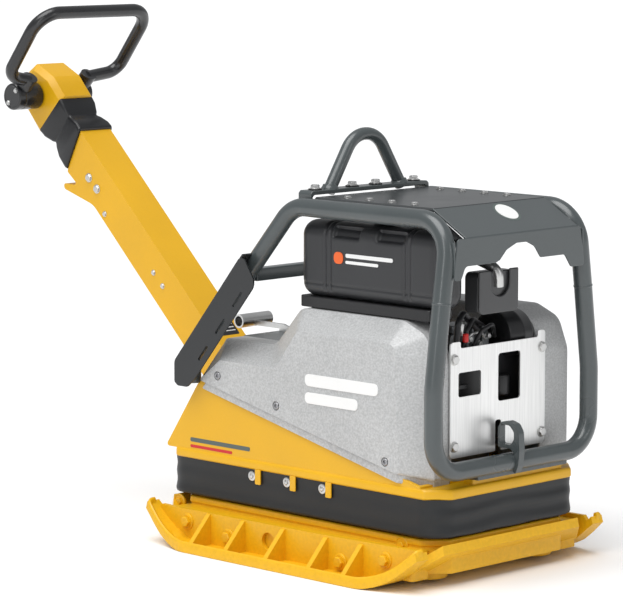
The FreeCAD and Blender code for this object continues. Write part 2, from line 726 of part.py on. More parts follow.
def extension_plate():
    """Right extension: upturned plate, web, outer rim and gussets."""
    body = new_body("extension_body")
    side = "core_y"
    plate = sketch(body, "XZ_Plane", ski_profile("plate_wall * 0.8"), offset=side)
    pad(body, plate, "plate_y - core_y")
    dress(body, "Fillet", "bend_radius", bends_of_plate)
    rim = sketch(body, "XZ_Plane", ski_profile("rim_rise"), offset="plate_y - rim_wall")
    pad(body, rim, "rim_wall")
    taper = [
        [
            (f"{sign} * straight_x", "-plate_y - 1"),
            (f"{sign} * (lip_x + 1)", "-tip_y"),
            (f"{sign} * (lip_x + 1)", "-plate_y - 1"),
        ]
        for sign in (-1, 1)
    ]
    pocket(body, sketch(body, "XY_Plane", *taper), "lip_z * 4", middle=True)
    pad(body, sketch(body, "XZ_Plane", extension_profile(), offset=side), "web_wall")
    rib = [
        ("-core_y - web_wall + 1", "rail_z"),
        ("-core_y - web_wall + 1", "plate_wall * 0.6"),
        ("-plate_y + rim_wall * 0.5", "plate_wall * 0.6"),
        ("-plate_y + rim_wall * 0.5", "rim_rise"),
    ]
    first = "-rib_pitch * (rib_count - 1) / 2 - rib_wall / 2"
    pad(body, sketch(body, "YZ_Plane", rib, offset=first), "rib_wall")
    repeat_ribs(body)
    vent = circle_sketch(body, "XZ_Plane", ("vent_x", "rail_z * 0.58"), "vent_radius", offset=side)
    pocket(body, vent, "web_wall", back=True)
    return keep(body, "extension_plate_right")


def repeat_ribs(body):
    """The first gusset carried along the extension."""
    row = body.newObject("PartDesign::LinearPattern", body.Name + "_row")
    row.Originals = [body.Tip]
    row.Direction = (next(i for i in body.Origin.OriginFeatures if i.Role == "X_Axis"), [""])
    row.setExpression("Length", cells("rib_pitch * (rib_count - 1)"))
    row.setExpression("Occurrences", cells("rib_count"))
    body.Tip = row
    doc.recompute()


def extension_bolts():
    """Hex bolts that hold the extensions on the rails."""
    places = [f"{sign} * {out}" for sign in (-1, 1) for out in ("web_bolt_out", "web_bolt_in")]
    near = ("-core_y - web_wall - bolt_large_thick", "-core_y - web_wall")
    far = ("core_y + web_wall", "core_y + web_wall + bolt_large_thick")
    bolts = [
        prism("extension_bolt", "Y", "bolt_large_head", span, (x, "web_bolt_z"))
        for x in places
        for span in (near, far)
    ]
    return keep(group("extension_bolts_group", bolts), "extension_bolts")


def buffers():
    """Rubber buffers that carry the chassis."""
    pads = [
        rod("buffer", "Z", "post_radius", ("post_z", "deck_z"), (f"{a} * post_x", f"{b} * post_y"))
        for a, b in side_signs()
    ]
    return keep(group("buffers_group", pads), "buffers")


def buffer_bolts():
    """Bolt heads in the pockets of the upstand."""
    heads = []
    for x in ("pocket_rear_x", "pocket_front_x"):
        for low, high in (
            ("-upstand_y", "-upstand_y + pocket_deep"),
            ("upstand_y - pocket_deep", "upstand_y"),
        ):
            heads.append(prism("buffer_bolt", "Y", "bolt_head", (low, high), (x, "pocket_z")))
    return keep(group("buffer_bolts_group", heads), "buffer_bolts")


# ---- exciter: housing, covers, bearings, two geared shafts ----

SHAFTS = (("front", "shaft_x"), ("rear", "-shaft_x"))


def exciter_housing():
    """Box bolted on the plate, bored through for the two shafts."""
    shell = box(
        "housing_block",
        ("-housing_x", "housing_x"),
        ("-housing_y", "housing_y"),
        ("plate_wall", "housing_z"),
    )
    room = box(
        "housing_room",
        ("-housing_x + housing_wall", "housing_x - housing_wall"),
        ("-housing_y + bearing_width + 2", "housing_y - bearing_width - 2"),
        ("plate_wall + housing_wall", "housing_z - housing_wall"),
    )
    through = ("-housing_y - 1", "housing_y + 1")
    bores = [rod("housing_bore", "Y", "bearing_radius", through, (x, "shaft_z")) for _, x in SHAFTS]
    return keep(cut("exciter_housing_cut", shell, room, *bores), "exciter_housing")


def exciter_covers():
    """End covers of the housing; the shafts pass through the far one."""
    plates = []
    for low, high in (("-housing_y - cover_wall", "-housing_y"), ("housing_y", "housing_y + cover_wall")):
        span = ("-housing_x + 8", "housing_x - 8")
        plate = box("cover_plate", span, (low, high), ("plate_wall + 14", "housing_z - 8"))
        through = (f"{low} - 1", f"{high} + 1")
        holes = [rod("cover_hole", "Y", "shaft_radius + 2", through, (x, "shaft_z")) for _, x in SHAFTS]
        plates.append(cut("cover", plate, *holes))
    return keep(group("exciter_covers_group", plates), "exciter_covers")


def exciter_bearings():
    """Four roller bearings, drawn as plain rings."""
    rings = []
    for _, x in SHAFTS:
        for low, high in (
            ("-housing_y", "-housing_y + bearing_width"),
            ("housing_y - bearing_width", "housing_y"),
        ):
            ring = rod("bearing", "Y", "bearing_radius", (low, high), (x, "shaft_z"))
            through = (f"{low} - 1", f"{high} + 1")
            hole = rod("bearing_hole", "Y", "shaft_radius + bearing_gap", through, (x, "shaft_z"))
            rings.append(cut("bearing_ring", ring, hole))
    return keep(group("exciter_bearings_group", rings), "exciter_bearings")


def exciter_shaft(end, x):
    """One shaft, with its two eccentric weights in a node of their own."""
    far = "pulley_y + pulley_width / 2 + 8" if end == "rear" else "housing_y + cover_wall"
    shaft = rod(f"{end}_shaft", "Y", "shaft_radius", ("-housing_y - cover_wall", far), (x, "shaft_z"))
    keep(shaft, f"{end}_exciter_shaft")
    weights = []
    for low, high in (("-weight_half", "-weight_half * 0.35"), ("weight_half * 0.35", "weight_half")):
        disc = rod("weight_disc", "Y", "weight_radius", (low, high), (x, "shaft_z"))
        across = (f"{x} - weight_radius - 1", f"{x} + weight_radius + 1")
        over = ("shaft_z + shaft_radius * 0.9", "shaft_z + weight_radius + 1")
        above = box("weight_top", across, (f"{low} - 1", f"{high} + 1"), over)
        hole = rod("weight_hole", "Y", "shaft_radius", (f"{low} - 1", f"{high} + 1"), (x, "shaft_z"))
        weights.append(cut("weight", disc, above, hole))
    keep(group(f"{end}_weights_group", weights), f"{end}_weights")


def gear(end, x, phase):
    """Spur gear in the middle of a shaft, its teeth as a polar row of keys."""
    body = new_body(f"{end}_gear_body")
    root = circle_sketch(body, "XZ_Plane", ("0", "0"), "gear_radius - tooth_depth - 1.5")
    pad(body, root, "gear_width", middle=True)
    half = "gear_radius * 0.036"
    tooth = [
        (f"-{half} * 1.25", "gear_radius - tooth_depth - 4"),
        (f"{half} * 1.25", "gear_radius - tooth_depth - 4"),
        (f"{half} * 0.6", "gear_radius + tooth_depth - 1"),
        (f"-{half} * 0.6", "gear_radius + tooth_depth - 1"),
    ]
    pad(body, sketch(body, "XZ_Plane", tooth), "gear_width", middle=True)
    ring = body.newObject("PartDesign::PolarPattern", body.Name + "_ring")
    ring.Originals = [body.Tip]
    ring.Axis = (next(i for i in body.Origin.OriginFeatures if i.Role == "Y_Axis"), [""])
    ring.Angle = 360
    ring.setExpression("Occurrences", cells("tooth_count"))
    body.Tip = ring
    doc.recompute()
    pocket(body, circle_sketch(body, "XZ_Plane", ("0", "0"), "shaft_radius"), "gear_width * 2", middle=True)
    place(body, x, "0", "shaft_z", FreeCAD.Rotation(Y_AXIS, phase))
    return keep(body, f"{end}_gear")


def grooved_pulley(name, radius, bore):
    """V-belt pulley turned about its axis, its hub bored."""
    body = new_body(name + "_body")
    half = "pulley_width / 2"
    ring = [
        (bore, f"-{half}"),
        (radius, f"-{half}"),
        (radius, f"-{half} * 0.75"),
        (f"{radius} - 15", f"-{half} * 0.3"),
        (f"{radius} - 15", f"{half} * 0.3"),
        (radius, f"{half} * 0.75"),
        (radius, half),
        (bore, half),
    ]
    turned = body.newObject("PartDesign::Revolution", name + "_turned")
    turned.Profile = sketch(body, "XY_Plane", ring)
    turned.ReferenceAxis = (next(i for i in body.Origin.OriginFeatures if i.Role == "Y_Axis"), [""])
    turned.Angle = 360
    doc.recompute()
    return body


def exciter_pulley():
    """Pulley on the rear shaft's far end."""
    body = grooved_pulley("exciter_pulley", "pulley_small", "shaft_radius")
    place(body, "-shaft_x", "pulley_y", "shaft_z")
    return keep(body, "exciter_pulley")


# ---- chassis, skirt and hoods ----

def wedge_profile(inset):
    """Lengthwise outline of the wedge that the hoods sit on."""
    return [
        (f"rim_rear + 6 + {inset}", f"rim_top - 2 + {inset} * 0"),
        (f"wedge_x + {inset}", f"wedge_z + {inset} * 2"),
        ("hood_rear_x - 4", f"hood_rear_z - 3 + {inset} * 2"),
        ("hood_front_x - 8", f"hood_front_z - 4 + {inset} * 2"),
        ("hood_front_x - 8", "rim_top - 2"),
    ]


def chassis():
    """Sprung deck: rim, deck plate, wedge walls, front ledge and belt slot."""
    body = new_body("chassis_body")
    ends, sides = ("rim_rear", "rim_front"), ("-rim_y", "rim_y")
    outline = chamfered(ends, sides, "rim_corner")
    pad(body, sketch(body, "XY_Plane", outline, offset="rim_low"), "rim_top - rim_low")
    dress(body, "Fillet", "chassis_wall * 0.7", lambda edge: middle_of(edge).z > value("rim_top - 0.1"))
    inner = chamfered(("rim_rear + 12", "rim_front - 12"), ("-rim_y + 12", "rim_y - 12"), "rim_corner")
    pocket(body, sketch(body, "XY_Plane", inner, offset="rim_low"), "deck_z - rim_low", back=True)
    wedge_y = "rim_y - 4"
    pad(body, sketch(body, "XZ_Plane", wedge_profile("0")), f"({wedge_y}) * 2", middle=True)
    room = sketch(body, "XZ_Plane", wedge_profile("chassis_wall"))
    pocket(body, room, f"({wedge_y}) * 2 - chassis_wall * 2", middle=True)
    ledge = rectangle(("ledge_x", "rim_front - 10"), ("ledge_low_y", "ledge_high_y"))
    pad(body, sketch(body, "XY_Plane", ledge, offset="rim_top - 2"), "ledge_z - rim_top + 2")
    lengthwise = ("-pulley_large * 1.9", "crank_x + pulley_large * 1.5")
    slot = rectangle(lengthwise, ("pulley_y - 24", "pulley_y + 24"))
    pocket(body, sketch(body, "XY_Plane", slot), "rim_top + 2", back=True)
    return keep(body, "chassis")


def rounded_slab(name, x, y, z, radius):
    """Upright-edged slab with rounded corners in plan."""
    body = new_body(name)
    pad(body, sketch(body, "XY_Plane", rectangle(x, y), offset=z[0]), f"({z[1]}) - ({z[0]})")
    dress(body, "Fillet", radius, lambda edge: runs_along(edge, Z_AXIS))
    return body


def skirt():
    """Rubber band round the gap between chassis and base."""
    outside = rounded_slab(
        "skirt_outside",
        ("skirt_rear", "skirt_front"),
        ("-skirt_y", "skirt_y"),
        ("skirt_low", "rim_low"),
        "skirt_radius",
    )
    inside = rounded_slab(
        "skirt_inside",
        ("skirt_rear + skirt_wall", "skirt_front - skirt_wall"),
        ("-skirt_y + skirt_wall", "skirt_y - skirt_wall"),
        ("skirt_low - 1", "rim_low + 1"),
        "skirt_radius - skirt_wall",
    )
    return keep(cut("skirt_cut", outside, inside), "skirt")


def skirt_bolts():
    """Bolts with tabs that hold the skirt's upper edge, three a side."""
    bolts = []
    for index in range(3):
        x = f"skirt_bolt_first + {index} * skirt_bolt_pitch"
        for low, high in (("-skirt_y - bolt_thick", "-skirt_y"), ("skirt_y", "skirt_y + bolt_thick")):
            bolts.append(prism("skirt_bolt", "Y", "bolt_head", (low, high), (x, "skirt_bolt_z")))
    return keep(group("skirt_bolts_group", bolts), "skirt_bolts")


HOOD_SCREWS = (
    ("screw_rear_x", "screw_rear_z"),
    ("screw_mid_x", "screw_mid_z"),
    ("screw_front_x", "screw_front_z"),
)


def hood_side(inset):
    """Outline of the hood's side face, moved in by the wall."""
    low = f"{inset} * 4"
    return [
        (f"hood_rear_x + {inset}", f"hood_rear_z - {low}"),
        (f"hood_edge_x + 16 - {inset}", f"hood_front_z + 16 - {low}"),
        (f"hood_edge_x - {inset}", f"hood_high_z - 14 - {inset}"),
        (f"hood_edge_x - 4 - {inset}", f"hood_high_z - 4 - {inset}"),
        (f"hood_edge_x - 14 - {inset}", f"hood_high_z - {inset}"),
        (f"hood_step_x + {inset}", f"hood_high_z - {inset}"),
        (f"hood_foot_x + {inset}", f"hood_low_z - {inset}"),
        (f"hood_back_x + {inset}", f"hood_low_z - {inset}"),
    ]


def hood_crown(inset):
    """Outline of the hood at the inner edge of its bevel."""
    low = f"{inset} * 4"
    return [
        (f"hood_rear_x + {inset}", f"hood_rear_z - {low}"),
        (f"hood_front_x - {inset}", f"hood_front_z - {low}"),
        (f"hood_front_x - {inset}", f"hood_top - hood_round - {inset}"),
        (f"hood_front_x - hood_round * 0.293 - {inset}", f"hood_top - hood_round * 0.293 - {inset}"),
        (f"hood_front_x - hood_round - {inset}", f"hood_top - {inset}"),
        (f"crown_step_x + {inset}", f"hood_top - {inset}"),
        (f"crown_foot_x + {inset}", f"hood_low_top - {inset}"),
        (f"crown_back_x + {inset}", f"hood_low_top - {inset}"),
    ]


def hood_right():
    """Cast hood: bevelled side, stepped top and rounded front corner, hollow inside."""
    body = new_body("hood_body")
    side = sketch(body, "XZ_Plane", hood_side("0"), offset="hood_y")
    crown = sketch(body, "XZ_Plane", hood_crown("0"), offset="hood_bevel_y")
    loft(body, "AdditiveLoft", side, crown)
    top = sketch(body, "XZ_Plane", hood_crown("0"), offset="hood_inner_y")
    pad(body, top, "hood_bevel_y - hood_inner_y")
    side = sketch(body, "XZ_Plane", hood_side("hood_wall"), offset="hood_y - hood_wall")
    crown = sketch(body, "XZ_Plane", hood_crown("hood_wall"), offset="hood_bevel_y - hood_wall")
    loft(body, "SubtractiveLoft", side, crown)
    room = sketch(body, "XZ_Plane", hood_crown("hood_wall"), offset="hood_bevel_y - hood_wall")
    pocket(body, room, "hood_bevel_y - hood_inner_y + 10")
    clear_panel(body)
    return keep(sunk_screws(body), "hood_right")


def hood_left():
    """Cast hood of the other side: the same outline carried out to a side face with a bevelled edge."""
    body = new_body("square_hood_body")
    block = sketch(body, "XZ_Plane", hood_crown("0"), offset="hood_inner_y")
    pad(body, block, "hood_y - hood_inner_y")
    dress(body, "Chamfer", "hood_wall * 2.4", lambda edge: middle_of(edge).y < value("-hood_y + 0.1"))
    room = sketch(body, "XZ_Plane", hood_crown("hood_wall"), offset="hood_y - hood_wall * 3")
    pocket(body, room, "hood_y - hood_inner_y + 10")
    clear_panel(body)
    return keep(mirrored("hood_left", sunk_screws(body)), "hood_left")


def clear_panel(body):
    """Cut the hood back where the front panel stands."""
    front = rectangle(("hood_front_x - 40", "hood_front_x + 1"), ("-panel_y - 1", "0"))
    pocket(body, sketch(body, "XY_Plane", front), "hood_top + 1", back=True)


def sunk_screws(body):
    """Round pits for the screws in the side face."""
    for place_of in HOOD_SCREWS:
        pit = circle_sketch(body, "XZ_Plane", place_of, "screw_pit", offset="hood_y")
        pocket(body, pit, "screw_deep")
    return body


def hood_bolts():
    """Socket screws sunk in the hoods' side faces, three a side."""
    screws = []
    for place_of in HOOD_SCREWS:
        for low, high in (("-hood_y - 1", "-hood_y + screw_deep"), ("hood_y - screw_deep", "hood_y + 1")):
            screws.append(rod("hood_screw", "Y", "bolt_head", (low, high), place_of))
    return keep(group("hood_bolts_group", screws), "hood_bolts")


def front_panel():
    """Stainless plate between the hoods, with a window and a slot."""
    body = new_body("front_panel_body")
    outline = [
        ("-panel_y", "panel_low"),
        ("-slot_y", "panel_low"),
        ("-slot_y", "slot_top"),
        ("slot_y", "slot_top"),
        ("slot_y", "panel_low"),
        ("panel_y", "panel_low"),
        ("panel_y", "panel_top"),
        ("panel_y - 26", "panel_top"),
        ("panel_y - 26", "panel_notch"),
        ("-panel_y + 33", "panel_notch"),
        ("-panel_y + 33", "panel_top"),
        ("-panel_y", "panel_top"),
    ]
    pad(body, sketch(body, "YZ_Plane", outline, offset="panel_x"), "panel_wall")
    window = rectangle(("window_low_y", "window_high_y"), ("window_low", "window_top"))
    small = rectangle(("plate_low_y", "plate_high_y"), ("plate_low", "plate_top"))
    pocket(body, sketch(body, "YZ_Plane", window, small, offset="panel_x"), "panel_wall", back=True)
    return keep(body, "front_panel")


def front_panel_bolts():
    """Four bolts of the stainless panel."""
    span = ("panel_x + panel_wall", "panel_x + panel_wall + bolt_thick")
    bolts = [
        prism("panel_bolt", "X", "bolt_head", span, (f"{sign} * panel_bolt_y", z))
        for sign in (-1, 1)
        for z in ("panel_bolt_low", "panel_bolt_high")
    ]
    return keep(group("front_panel_bolts_group", bolts), "front_panel_bolts")


# ---- tube frame ----

def front_hoop():
    """Lower front tube: bottom bar and the two uprights."""
    half = [
        ("hoop_x", "-hoop_split_y", "hoop_split"),
        ("hoop_x", "-hoop_y", "hoop_knee"),
        ("hoop_x", "-hoop_y", "hoop_low"),
    ]
    other = [(x, f"-({y})", z) for x, y, z in reversed(half)]
    radii = ["hoop_bend * 3", "hoop_bend", "hoop_bend", "hoop_bend * 3"]
    return keep(bent_bar("front_hoop", half + other, radii, "tube_radius", "tube_wall"), "front_hoop")


def side_tube(name, wall=None):
    """Upper tube of one side: front corner, top run and rear leg; solid where no wall is given."""
    corners = [
        ("hoop_x", "-hoop_split_y", "hoop_split"),
        ("hoop_x", "-top_y", "top_z"),
        ("rear_top_x", "-top_y", "top_z"),
        ("rear_knee_x", "-rear_knee_y", "rear_knee_z"),
        ("rear_knee_x", "-rear_knee_y", "rear_foot_z"),
    ]
    return bent_bar(name, corners, ["top_bend", "top_bend", "top_bend * 0.6"], "tube_radius", wall)


def side_tube_right():
    """Right upper tube."""
    return keep(side_tube("side_tube", "tube_wall"), "side_tube_right")


def rear_guards():
    """Folded sheets over the rear legs: an outer face with a flange on the rear edge."""
    body = new_body("rear_guard_body")
    outline = [
        ("guard_tip_x", "guard_tip_z"),
        ("guard_rear_x", "guard_bend_z"),
        ("guard_rear_x", "guard_low_z"),
        ("guard_rear_x + 12", "guard_low_z - 8"),
        ("guard_front_x - 24", "guard_low_z - 8"),
        ("guard_front_x", "guard_low_z + 12"),
        ("guard_tip_x + 46", "guard_tip_z - 65"),
    ]
    pad(body, sketch(body, "XZ_Plane", outline, offset="guard_y - guard_wall"), "guard_wall")
    flange = [
        ("guard_tip_x", "guard_tip_z"),
        ("guard_rear_x", "guard_bend_z"),
        ("guard_rear_x", "guard_low_z"),
        ("guard_rear_x + 4", "guard_low_z"),
        ("guard_rear_x + 4", "guard_bend_z - 1"),
        ("guard_tip_x + 3", "guard_tip_z - 2.5"),
    ]
    pad(body, sketch(body, "XZ_Plane", flange, offset="guard_y - guard_fold"), "guard_fold")
    doc.recompute()
    guard = cut("rear_guard_cut", body, side_tube("guard_tube"))
    return keep(group("rear_guards_group", [guard, mirrored("rear_guard_left", guard)]), "rear_guards")


def cross_brace():
    """Box bar between the rear legs with two uprights to the lifting bracket."""
    across = ("-brace_y", "brace_y")
    lengthwise = ("brace_x - brace_half", "brace_x + brace_half")
    bar = box("brace_bar", lengthwise, across, ("brace_z - brace_half", "brace_z + brace_half"))
    hollow = box(
        "brace_hollow",
        ("brace_x - brace_half + brace_wall", "brace_x + brace_half - brace_wall"),
        ("-brace_y + brace_wall", "brace_y - brace_wall"),
        ("brace_z - brace_half + brace_wall", "brace_z + brace_half - brace_wall"),
    )
    return keep(cut("cross_brace_cut", bar, hollow), "cross_brace")


def front_lug():
    """Grey foot plate under the bottom bar, welded to it."""
    lengthwise = ("hoop_x - lug_half_x", "hoop_x + lug_half_x * 0.3")
    upright = ("ledge_z", "hoop_low - tube_radius + 2")
    plate = box("front_lug_plate", lengthwise, ("ledge_low_y", "ledge_high_y"), upright)
    span = ("ledge_low_y - 1", "ledge_high_y + 1")
    bar = rod("front_lug_bar", "Y", "tube_radius", span, ("hoop_x", "hoop_low"))
    return keep(cut("front_lug_cut", plate, bar), "front_lug")


def tow_eye():
    """Upright plate with a ring, in front of the bottom bar."""
    ring = rod("tow_ring", "Y", "eye_radius", ("eye_low_y", "eye_high_y"), ("eye_x", "eye_z"))
    upright = ("hoop_low - tube_radius", "eye_z")
    neck = box("tow_neck", ("eye_x", "eye_x + eye_radius"), ("eye_low_y", "eye_high_y"), upright)
    hole = rod("tow_hole", "Y", "eye_hole", ("eye_low_y - 1", "eye_high_y + 1"), ("eye_x", "eye_z"))
    bar = rod("tow_bar", "Y", "tube_radius", ("eye_low_y - 1", "eye_high_y + 1"), ("hoop_x", "hoop_low"))
    plate = fuse("tow_plate", ring, neck)
    return keep(cut("tow_eye_cut", plate, hole, bar, made("front_lug")), "tow_eye")


# ---- top cover, visor, lifting eye ----

def top_cover():
    """Flat sheet between the side tubes."""
    sheet_top = ("cover_z", "cover_z + sheet_wall")
    sheet = box("top_cover", ("bracket_front", "cover_front"), ("-cover_y", "cover_y"), sheet_top)
    return keep(sheet, "top_cover")


def visor():
    """Sheet that slopes down from the top cover and folds to a face with an arch."""
    body = new_body("visor_body")
    slope = [
        ("cover_front", "cover_z"),
        ("visor_x + sheet_wall * 0.4", "fold_z - sheet_wall"),
        ("visor_x + sheet_wall * 0.6", "fold_z + sheet_wall * 0.4"),
        ("cover_front", "cover_z + sheet_wall"),
    ]
    pad(body, sketch(body, "XZ_Plane", slope), "cover_y * 2", middle=True)
    face = [
        ("visor_low_y", "visor_leg_z"),
        ("visor_leg_low", "visor_leg_z"),
        ("visor_mid_low", "visor_mid_z"),
        ("arch_low_y - 36", "visor_mid_z"),
        ("arch_low_y", "arch_z - 13"),
        ("arch_low_y + 33", "arch_z"),
        ("arch_high_y - 27", "arch_z"),
        ("arch_high_y", "arch_z - 12"),
        ("arch_high_y + 21", "visor_mid_z"),
        ("visor_mid_high", "visor_mid_z"),
        ("visor_leg_high", "visor_leg_z"),
        ("visor_high_y", "visor_leg_z"),
        ("fold_high_y", "fold_z"),
        ("fold_low_y", "fold_z"),
    ]
    pad(body, sketch(body, "YZ_Plane", face, offset="visor_x"), "sheet_wall")
    return keep(body, "visor")


def lifting_bracket():
    """Bar across the frame that the lifting eye is welded to."""
    across = ("bracket_low_y", "bracket_high_y")
    lengthwise = ("bracket_rear", "bracket_front")
    return keep(box("lifting_bracket", lengthwise, across, ("bracket_z", "bracket_top")), "lifting_bracket")


def lifting_eye():
    """Bent round bar."""
    half = [("lift_x", "-lift_foot", "bracket_top - 8"), ("lift_x", "-lift_crown", "lift_top")]
    other = [(x, f"-({y})", z) for x, y, z in reversed(half)]
    bar = bent_bar("lifting_bar", half + other, ["lift_bend"] * 2, "lift_radius")
    return keep(cut("lifting_eye_cut", bar, made("lifting_bracket")), "lifting_eye")


def top_bolts():
    """Bolts of the lifting bracket and of the top cover."""
    bolts = []
    for y in ("-165", "-43", "35", "165"):
        head = ("bracket_top", "bracket_top + bolt_large_thick")
        bolts.append(prism("bracket_bolt", "Z", "bolt_large_head * 0.8", head, ("lift_x", y)))
    for index in range(4):
        for sign in (-1, 1):
            head = ("cover_z + sheet_wall", "cover_z + sheet_wall + bolt_thick")
            x = f"cover_bolt_first + {index} * cover_bolt_pitch"
            bolts.append(prism("cover_bolt", "Z", "bolt_head", head, (x, f"{sign} * cover_bolt_y")))
    return keep(group("top_bolts_group", bolts), "top_bolts")


def rear_deck():
    """Sheet between the hoods' lower rear tops."""
    deck = box(
        "rear_deck",
        ("rear_deck_rear", "rear_deck_front"),
        ("-hood_inner_y", "hood_inner_y"),
        ("rear_deck_z - rear_deck_wall", "rear_deck_z"),
    )
    return keep(deck, "rear_deck")


def deck_caps():
    """Two screw caps on the rear deck: hydraulic oil and engine oil."""
    caps = [
        rod("deck_cap", "Z", radius, ("rear_deck_z", top), (x, y))
        for radius, top, x, y in (
            ("cap_radius", "rear_deck_z + 34", "cap_x", "20"),
            ("cap_radius * 0.8", "rear_deck_z + 24", "cap_x - 45", "-12"),
        )
    ]
    return keep(group("deck_caps_group", caps), "deck_caps")


# ---- engine ----

def engine_block():
    """Crankcase with a finned cylinder and head."""
    case = box("crankcase", ("case_rear", "case_front"), ("-case_y", "case_y"), ("case_low", "case_top"))
    barrel = rod("barrel", "Z", "cylinder_radius * 0.8", ("case_top", "head_top"), ("cylinder_x", "0"))
    fins = []
    for index in range(int(value("fin_count"))):
        level = f"case_top + {index} * fin_pitch"
        span = (f"{level} + fin_first", f"{level} + fin_first + fin_wall")
        fins.append(rod("fin", "Z", "cylinder_radius", span, ("cylinder_x", "0")))
    through = ("-case_y - 1", "case_y + 1")
    bore = rod("crank_bore", "Y", "crank_radius + crank_gap", through, ("crank_x", "crank_z"))
    room = box(
        "crank_room",
        ("case_rear + 12", "case_front - 12"),
        ("-case_y + 20", "case_y - 20"),
        ("case_low + 14", "case_top - 12"),
    )
    return keep(cut("engine_cut", fuse("engine_whole", case, barrel, *fins), bore, room), "engine_block")


def fan_cowl():
    """Ring-shaped cowl round the flywheel fan."""
    span = ("flywheel_y - 8", "-case_y")
    drum = rod("cowl_drum", "Y", "flywheel_radius + 20", span, ("crank_x", "crank_z"))
    centre = ("crank_x", "crank_z")
    room = rod("cowl_room", "Y", "flywheel_radius + 8", ("flywheel_y - 4", "-case_y - 4"), centre)
    mouth = rod("cowl_mouth", "Y", "flywheel_radius * 0.6", ("flywheel_y - 9", "flywheel_y"), centre)
    back = rod("cowl_back", "Y", "crank_radius + 6", ("-case_y - 5", "-case_y + 1"), centre)
    return keep(cut("fan_cowl_cut", drum, room, mouth, back), "fan_cowl")


def crankshaft():
    """Crankshaft from the flywheel to the clutch."""
    span = ("flywheel_y + 6", "pulley_y + pulley_width / 2 + 6")
    shaft = rod("crank_line", "Y", "crank_radius", span, ("crank_x", "crank_z"))
    webs = [
        rod("crank_web", "Y", "crank_radius * 2", (low, high), ("crank_x", "crank_z - 14"))
        for low, high in (("-52", "-30"), ("30", "52"))
    ]
    return keep(fuse("crankshaft_whole", shaft, *webs), "crankshaft")


def flywheel():
    """Flywheel with radial fan blades on its outer face."""
    inner = ("flywheel_y + 12", "flywheel_y + flywheel_width")
    disc = rod("flywheel_disc", "Y", "flywheel_radius", inner, ("crank_x", "crank_z"))
    blades = [fan_blade(index * 30) for index in range(12)]
    bore = rod("flywheel_bore", "Y", "crank_radius", ("flywheel_y - 1", "-case_y"), ("crank_x", "crank_z"))
    return keep(cut("flywheel_cut", fuse("flywheel_whole", disc, *blades), bore), "flywheel")


def fan_blade(angle):
    """One blade, turned about the crankshaft."""
    blade = doc.addObject("Part::Box", "blade")
    blade.setExpression("Length", cells("flywheel_radius * 0.42"))
    blade.setExpression("Width", "11")
    blade.setExpression("Height", "4")
    turn = FreeCAD.Rotation(Y_AXIS, angle)
    reach = turn.multVec(Vec(value("flywheel_radius * 0.55"), 0, 0))
    centre = Vec(value("crank_x"), value("flywheel_y + 2"), value("crank_z"))
    blade.Placement = FreeCAD.Placement(centre + reach, turn)
    return blade


def clutch_pulley():
    """Centrifugal clutch drum with the belt groove."""
    body = grooved_pulley("clutch_pulley", "pulley_large", "crank_radius")
    place(body, "crank_x", "pulley_y", "crank_z")
    return keep(body, "clutch_pulley")


def v_belt():
    """Belt round the two pulleys, a closed band."""
    centre_a = Vec(value("crank_x"), 0, value("crank_z"))
    centre_b = Vec(value("-shaft_x"), 0, value("shaft_z"))
    faces = []
    for down in ("belt_out", "belt_in"):
        large, small = value(f"pulley_large - {down}"), value(f"pulley_small - {down}")
        faces.append(Part.Face(belt_line(centre_a, centre_b, large, small)))
    outside, inside = faces
    half = value("belt_half")
    item = doc.addObject("Part::Feature", "v_belt")
    band = outside.cut(inside).extrude(Vec(0, half * 2, 0))
    item.Shape = band
    item.Placement = FreeCAD.Placement(Vec(0, value("pulley_y") - half, 0), FreeCAD.Rotation())
    return keep(item, "v_belt")


def belt_line(centre_a, centre_b, large, small):
    """Closed line round two circles: two arcs and the outer tangents."""
    run = centre_b - centre_a
    tilt = math.asin((large - small) / run.Length)
    heading = math.atan2(run.z, run.x)
    corners = []
    for sign in (1, -1):
        angle = heading + sign * (math.pi / 2 - tilt)
        spoke = Vec(math.cos(angle), 0, math.sin(angle))
        corners.append((centre_a + spoke * large, centre_b + spoke * small))
    away = run.normalize()
    edges = [
        Part.LineSegment(corners[0][0], corners[0][1]).toShape(),
        Part.Arc(corners[0][1], centre_b + away * small, corners[1][1]).toShape(),
        Part.LineSegment(corners[1][1], corners[1][0]).toShape(),
        Part.Arc(corners[1][0], centre_a - away * large, corners[0][0]).toShape(),
    ]
    return Part.Wire(edges)


def air_filter():
    """Canister beside the silencer."""
    span = ("filter_low_y", "filter_high_y")
    return keep(rod("air_filter", "Y", "filter_radius", span, ("filter_x", "filter_z")), "air_filter")


def silencer():
    """Box silencer with rounded edges and a round mouth in its front."""
    body = new_body("silencer_body")
    across, upright = ("muffler_low_y", "muffler_high_y"), ("muffler_low", "muffler_top")
    case = sketch(body, "YZ_Plane", rectangle(across, upright), offset="muffler_rear")
    pad(body, case, "muffler_front - muffler_rear")
    dress(body, "Fillet", "muffler_round", lambda edge: runs_along(edge, X_AXIS))
    mouth = circle_sketch(body, "YZ_Plane", ("mouth_y", "mouth_z"), "mouth_radius", offset="muffler_front")
    pocket(body, mouth, "mouth_deep")
    return keep(body, "silencer")


def fuel_tank():
    """Blow-moulded tank with rounded edges."""
    body = new_body("fuel_tank_body")
    across, upright = ("tank_low_y", "tank_high_y"), ("tank_low", "tank_top")
    case = sketch(body, "YZ_Plane", rectangle(across, upright), offset="tank_rear")
    pad(body, case, "tank_front - tank_rear")
    dress(body, "Fillet", "tank_round", lambda edge: runs_along(edge, X_AXIS))
    centre = ("neck_x", "tank_low_y + neck_in")
    neck = circle_sketch(body, "XY_Plane", centre, "neck_radius", offset="tank_top - 4")
    pad(body, neck, "16")
    return keep(body, "fuel_tank")


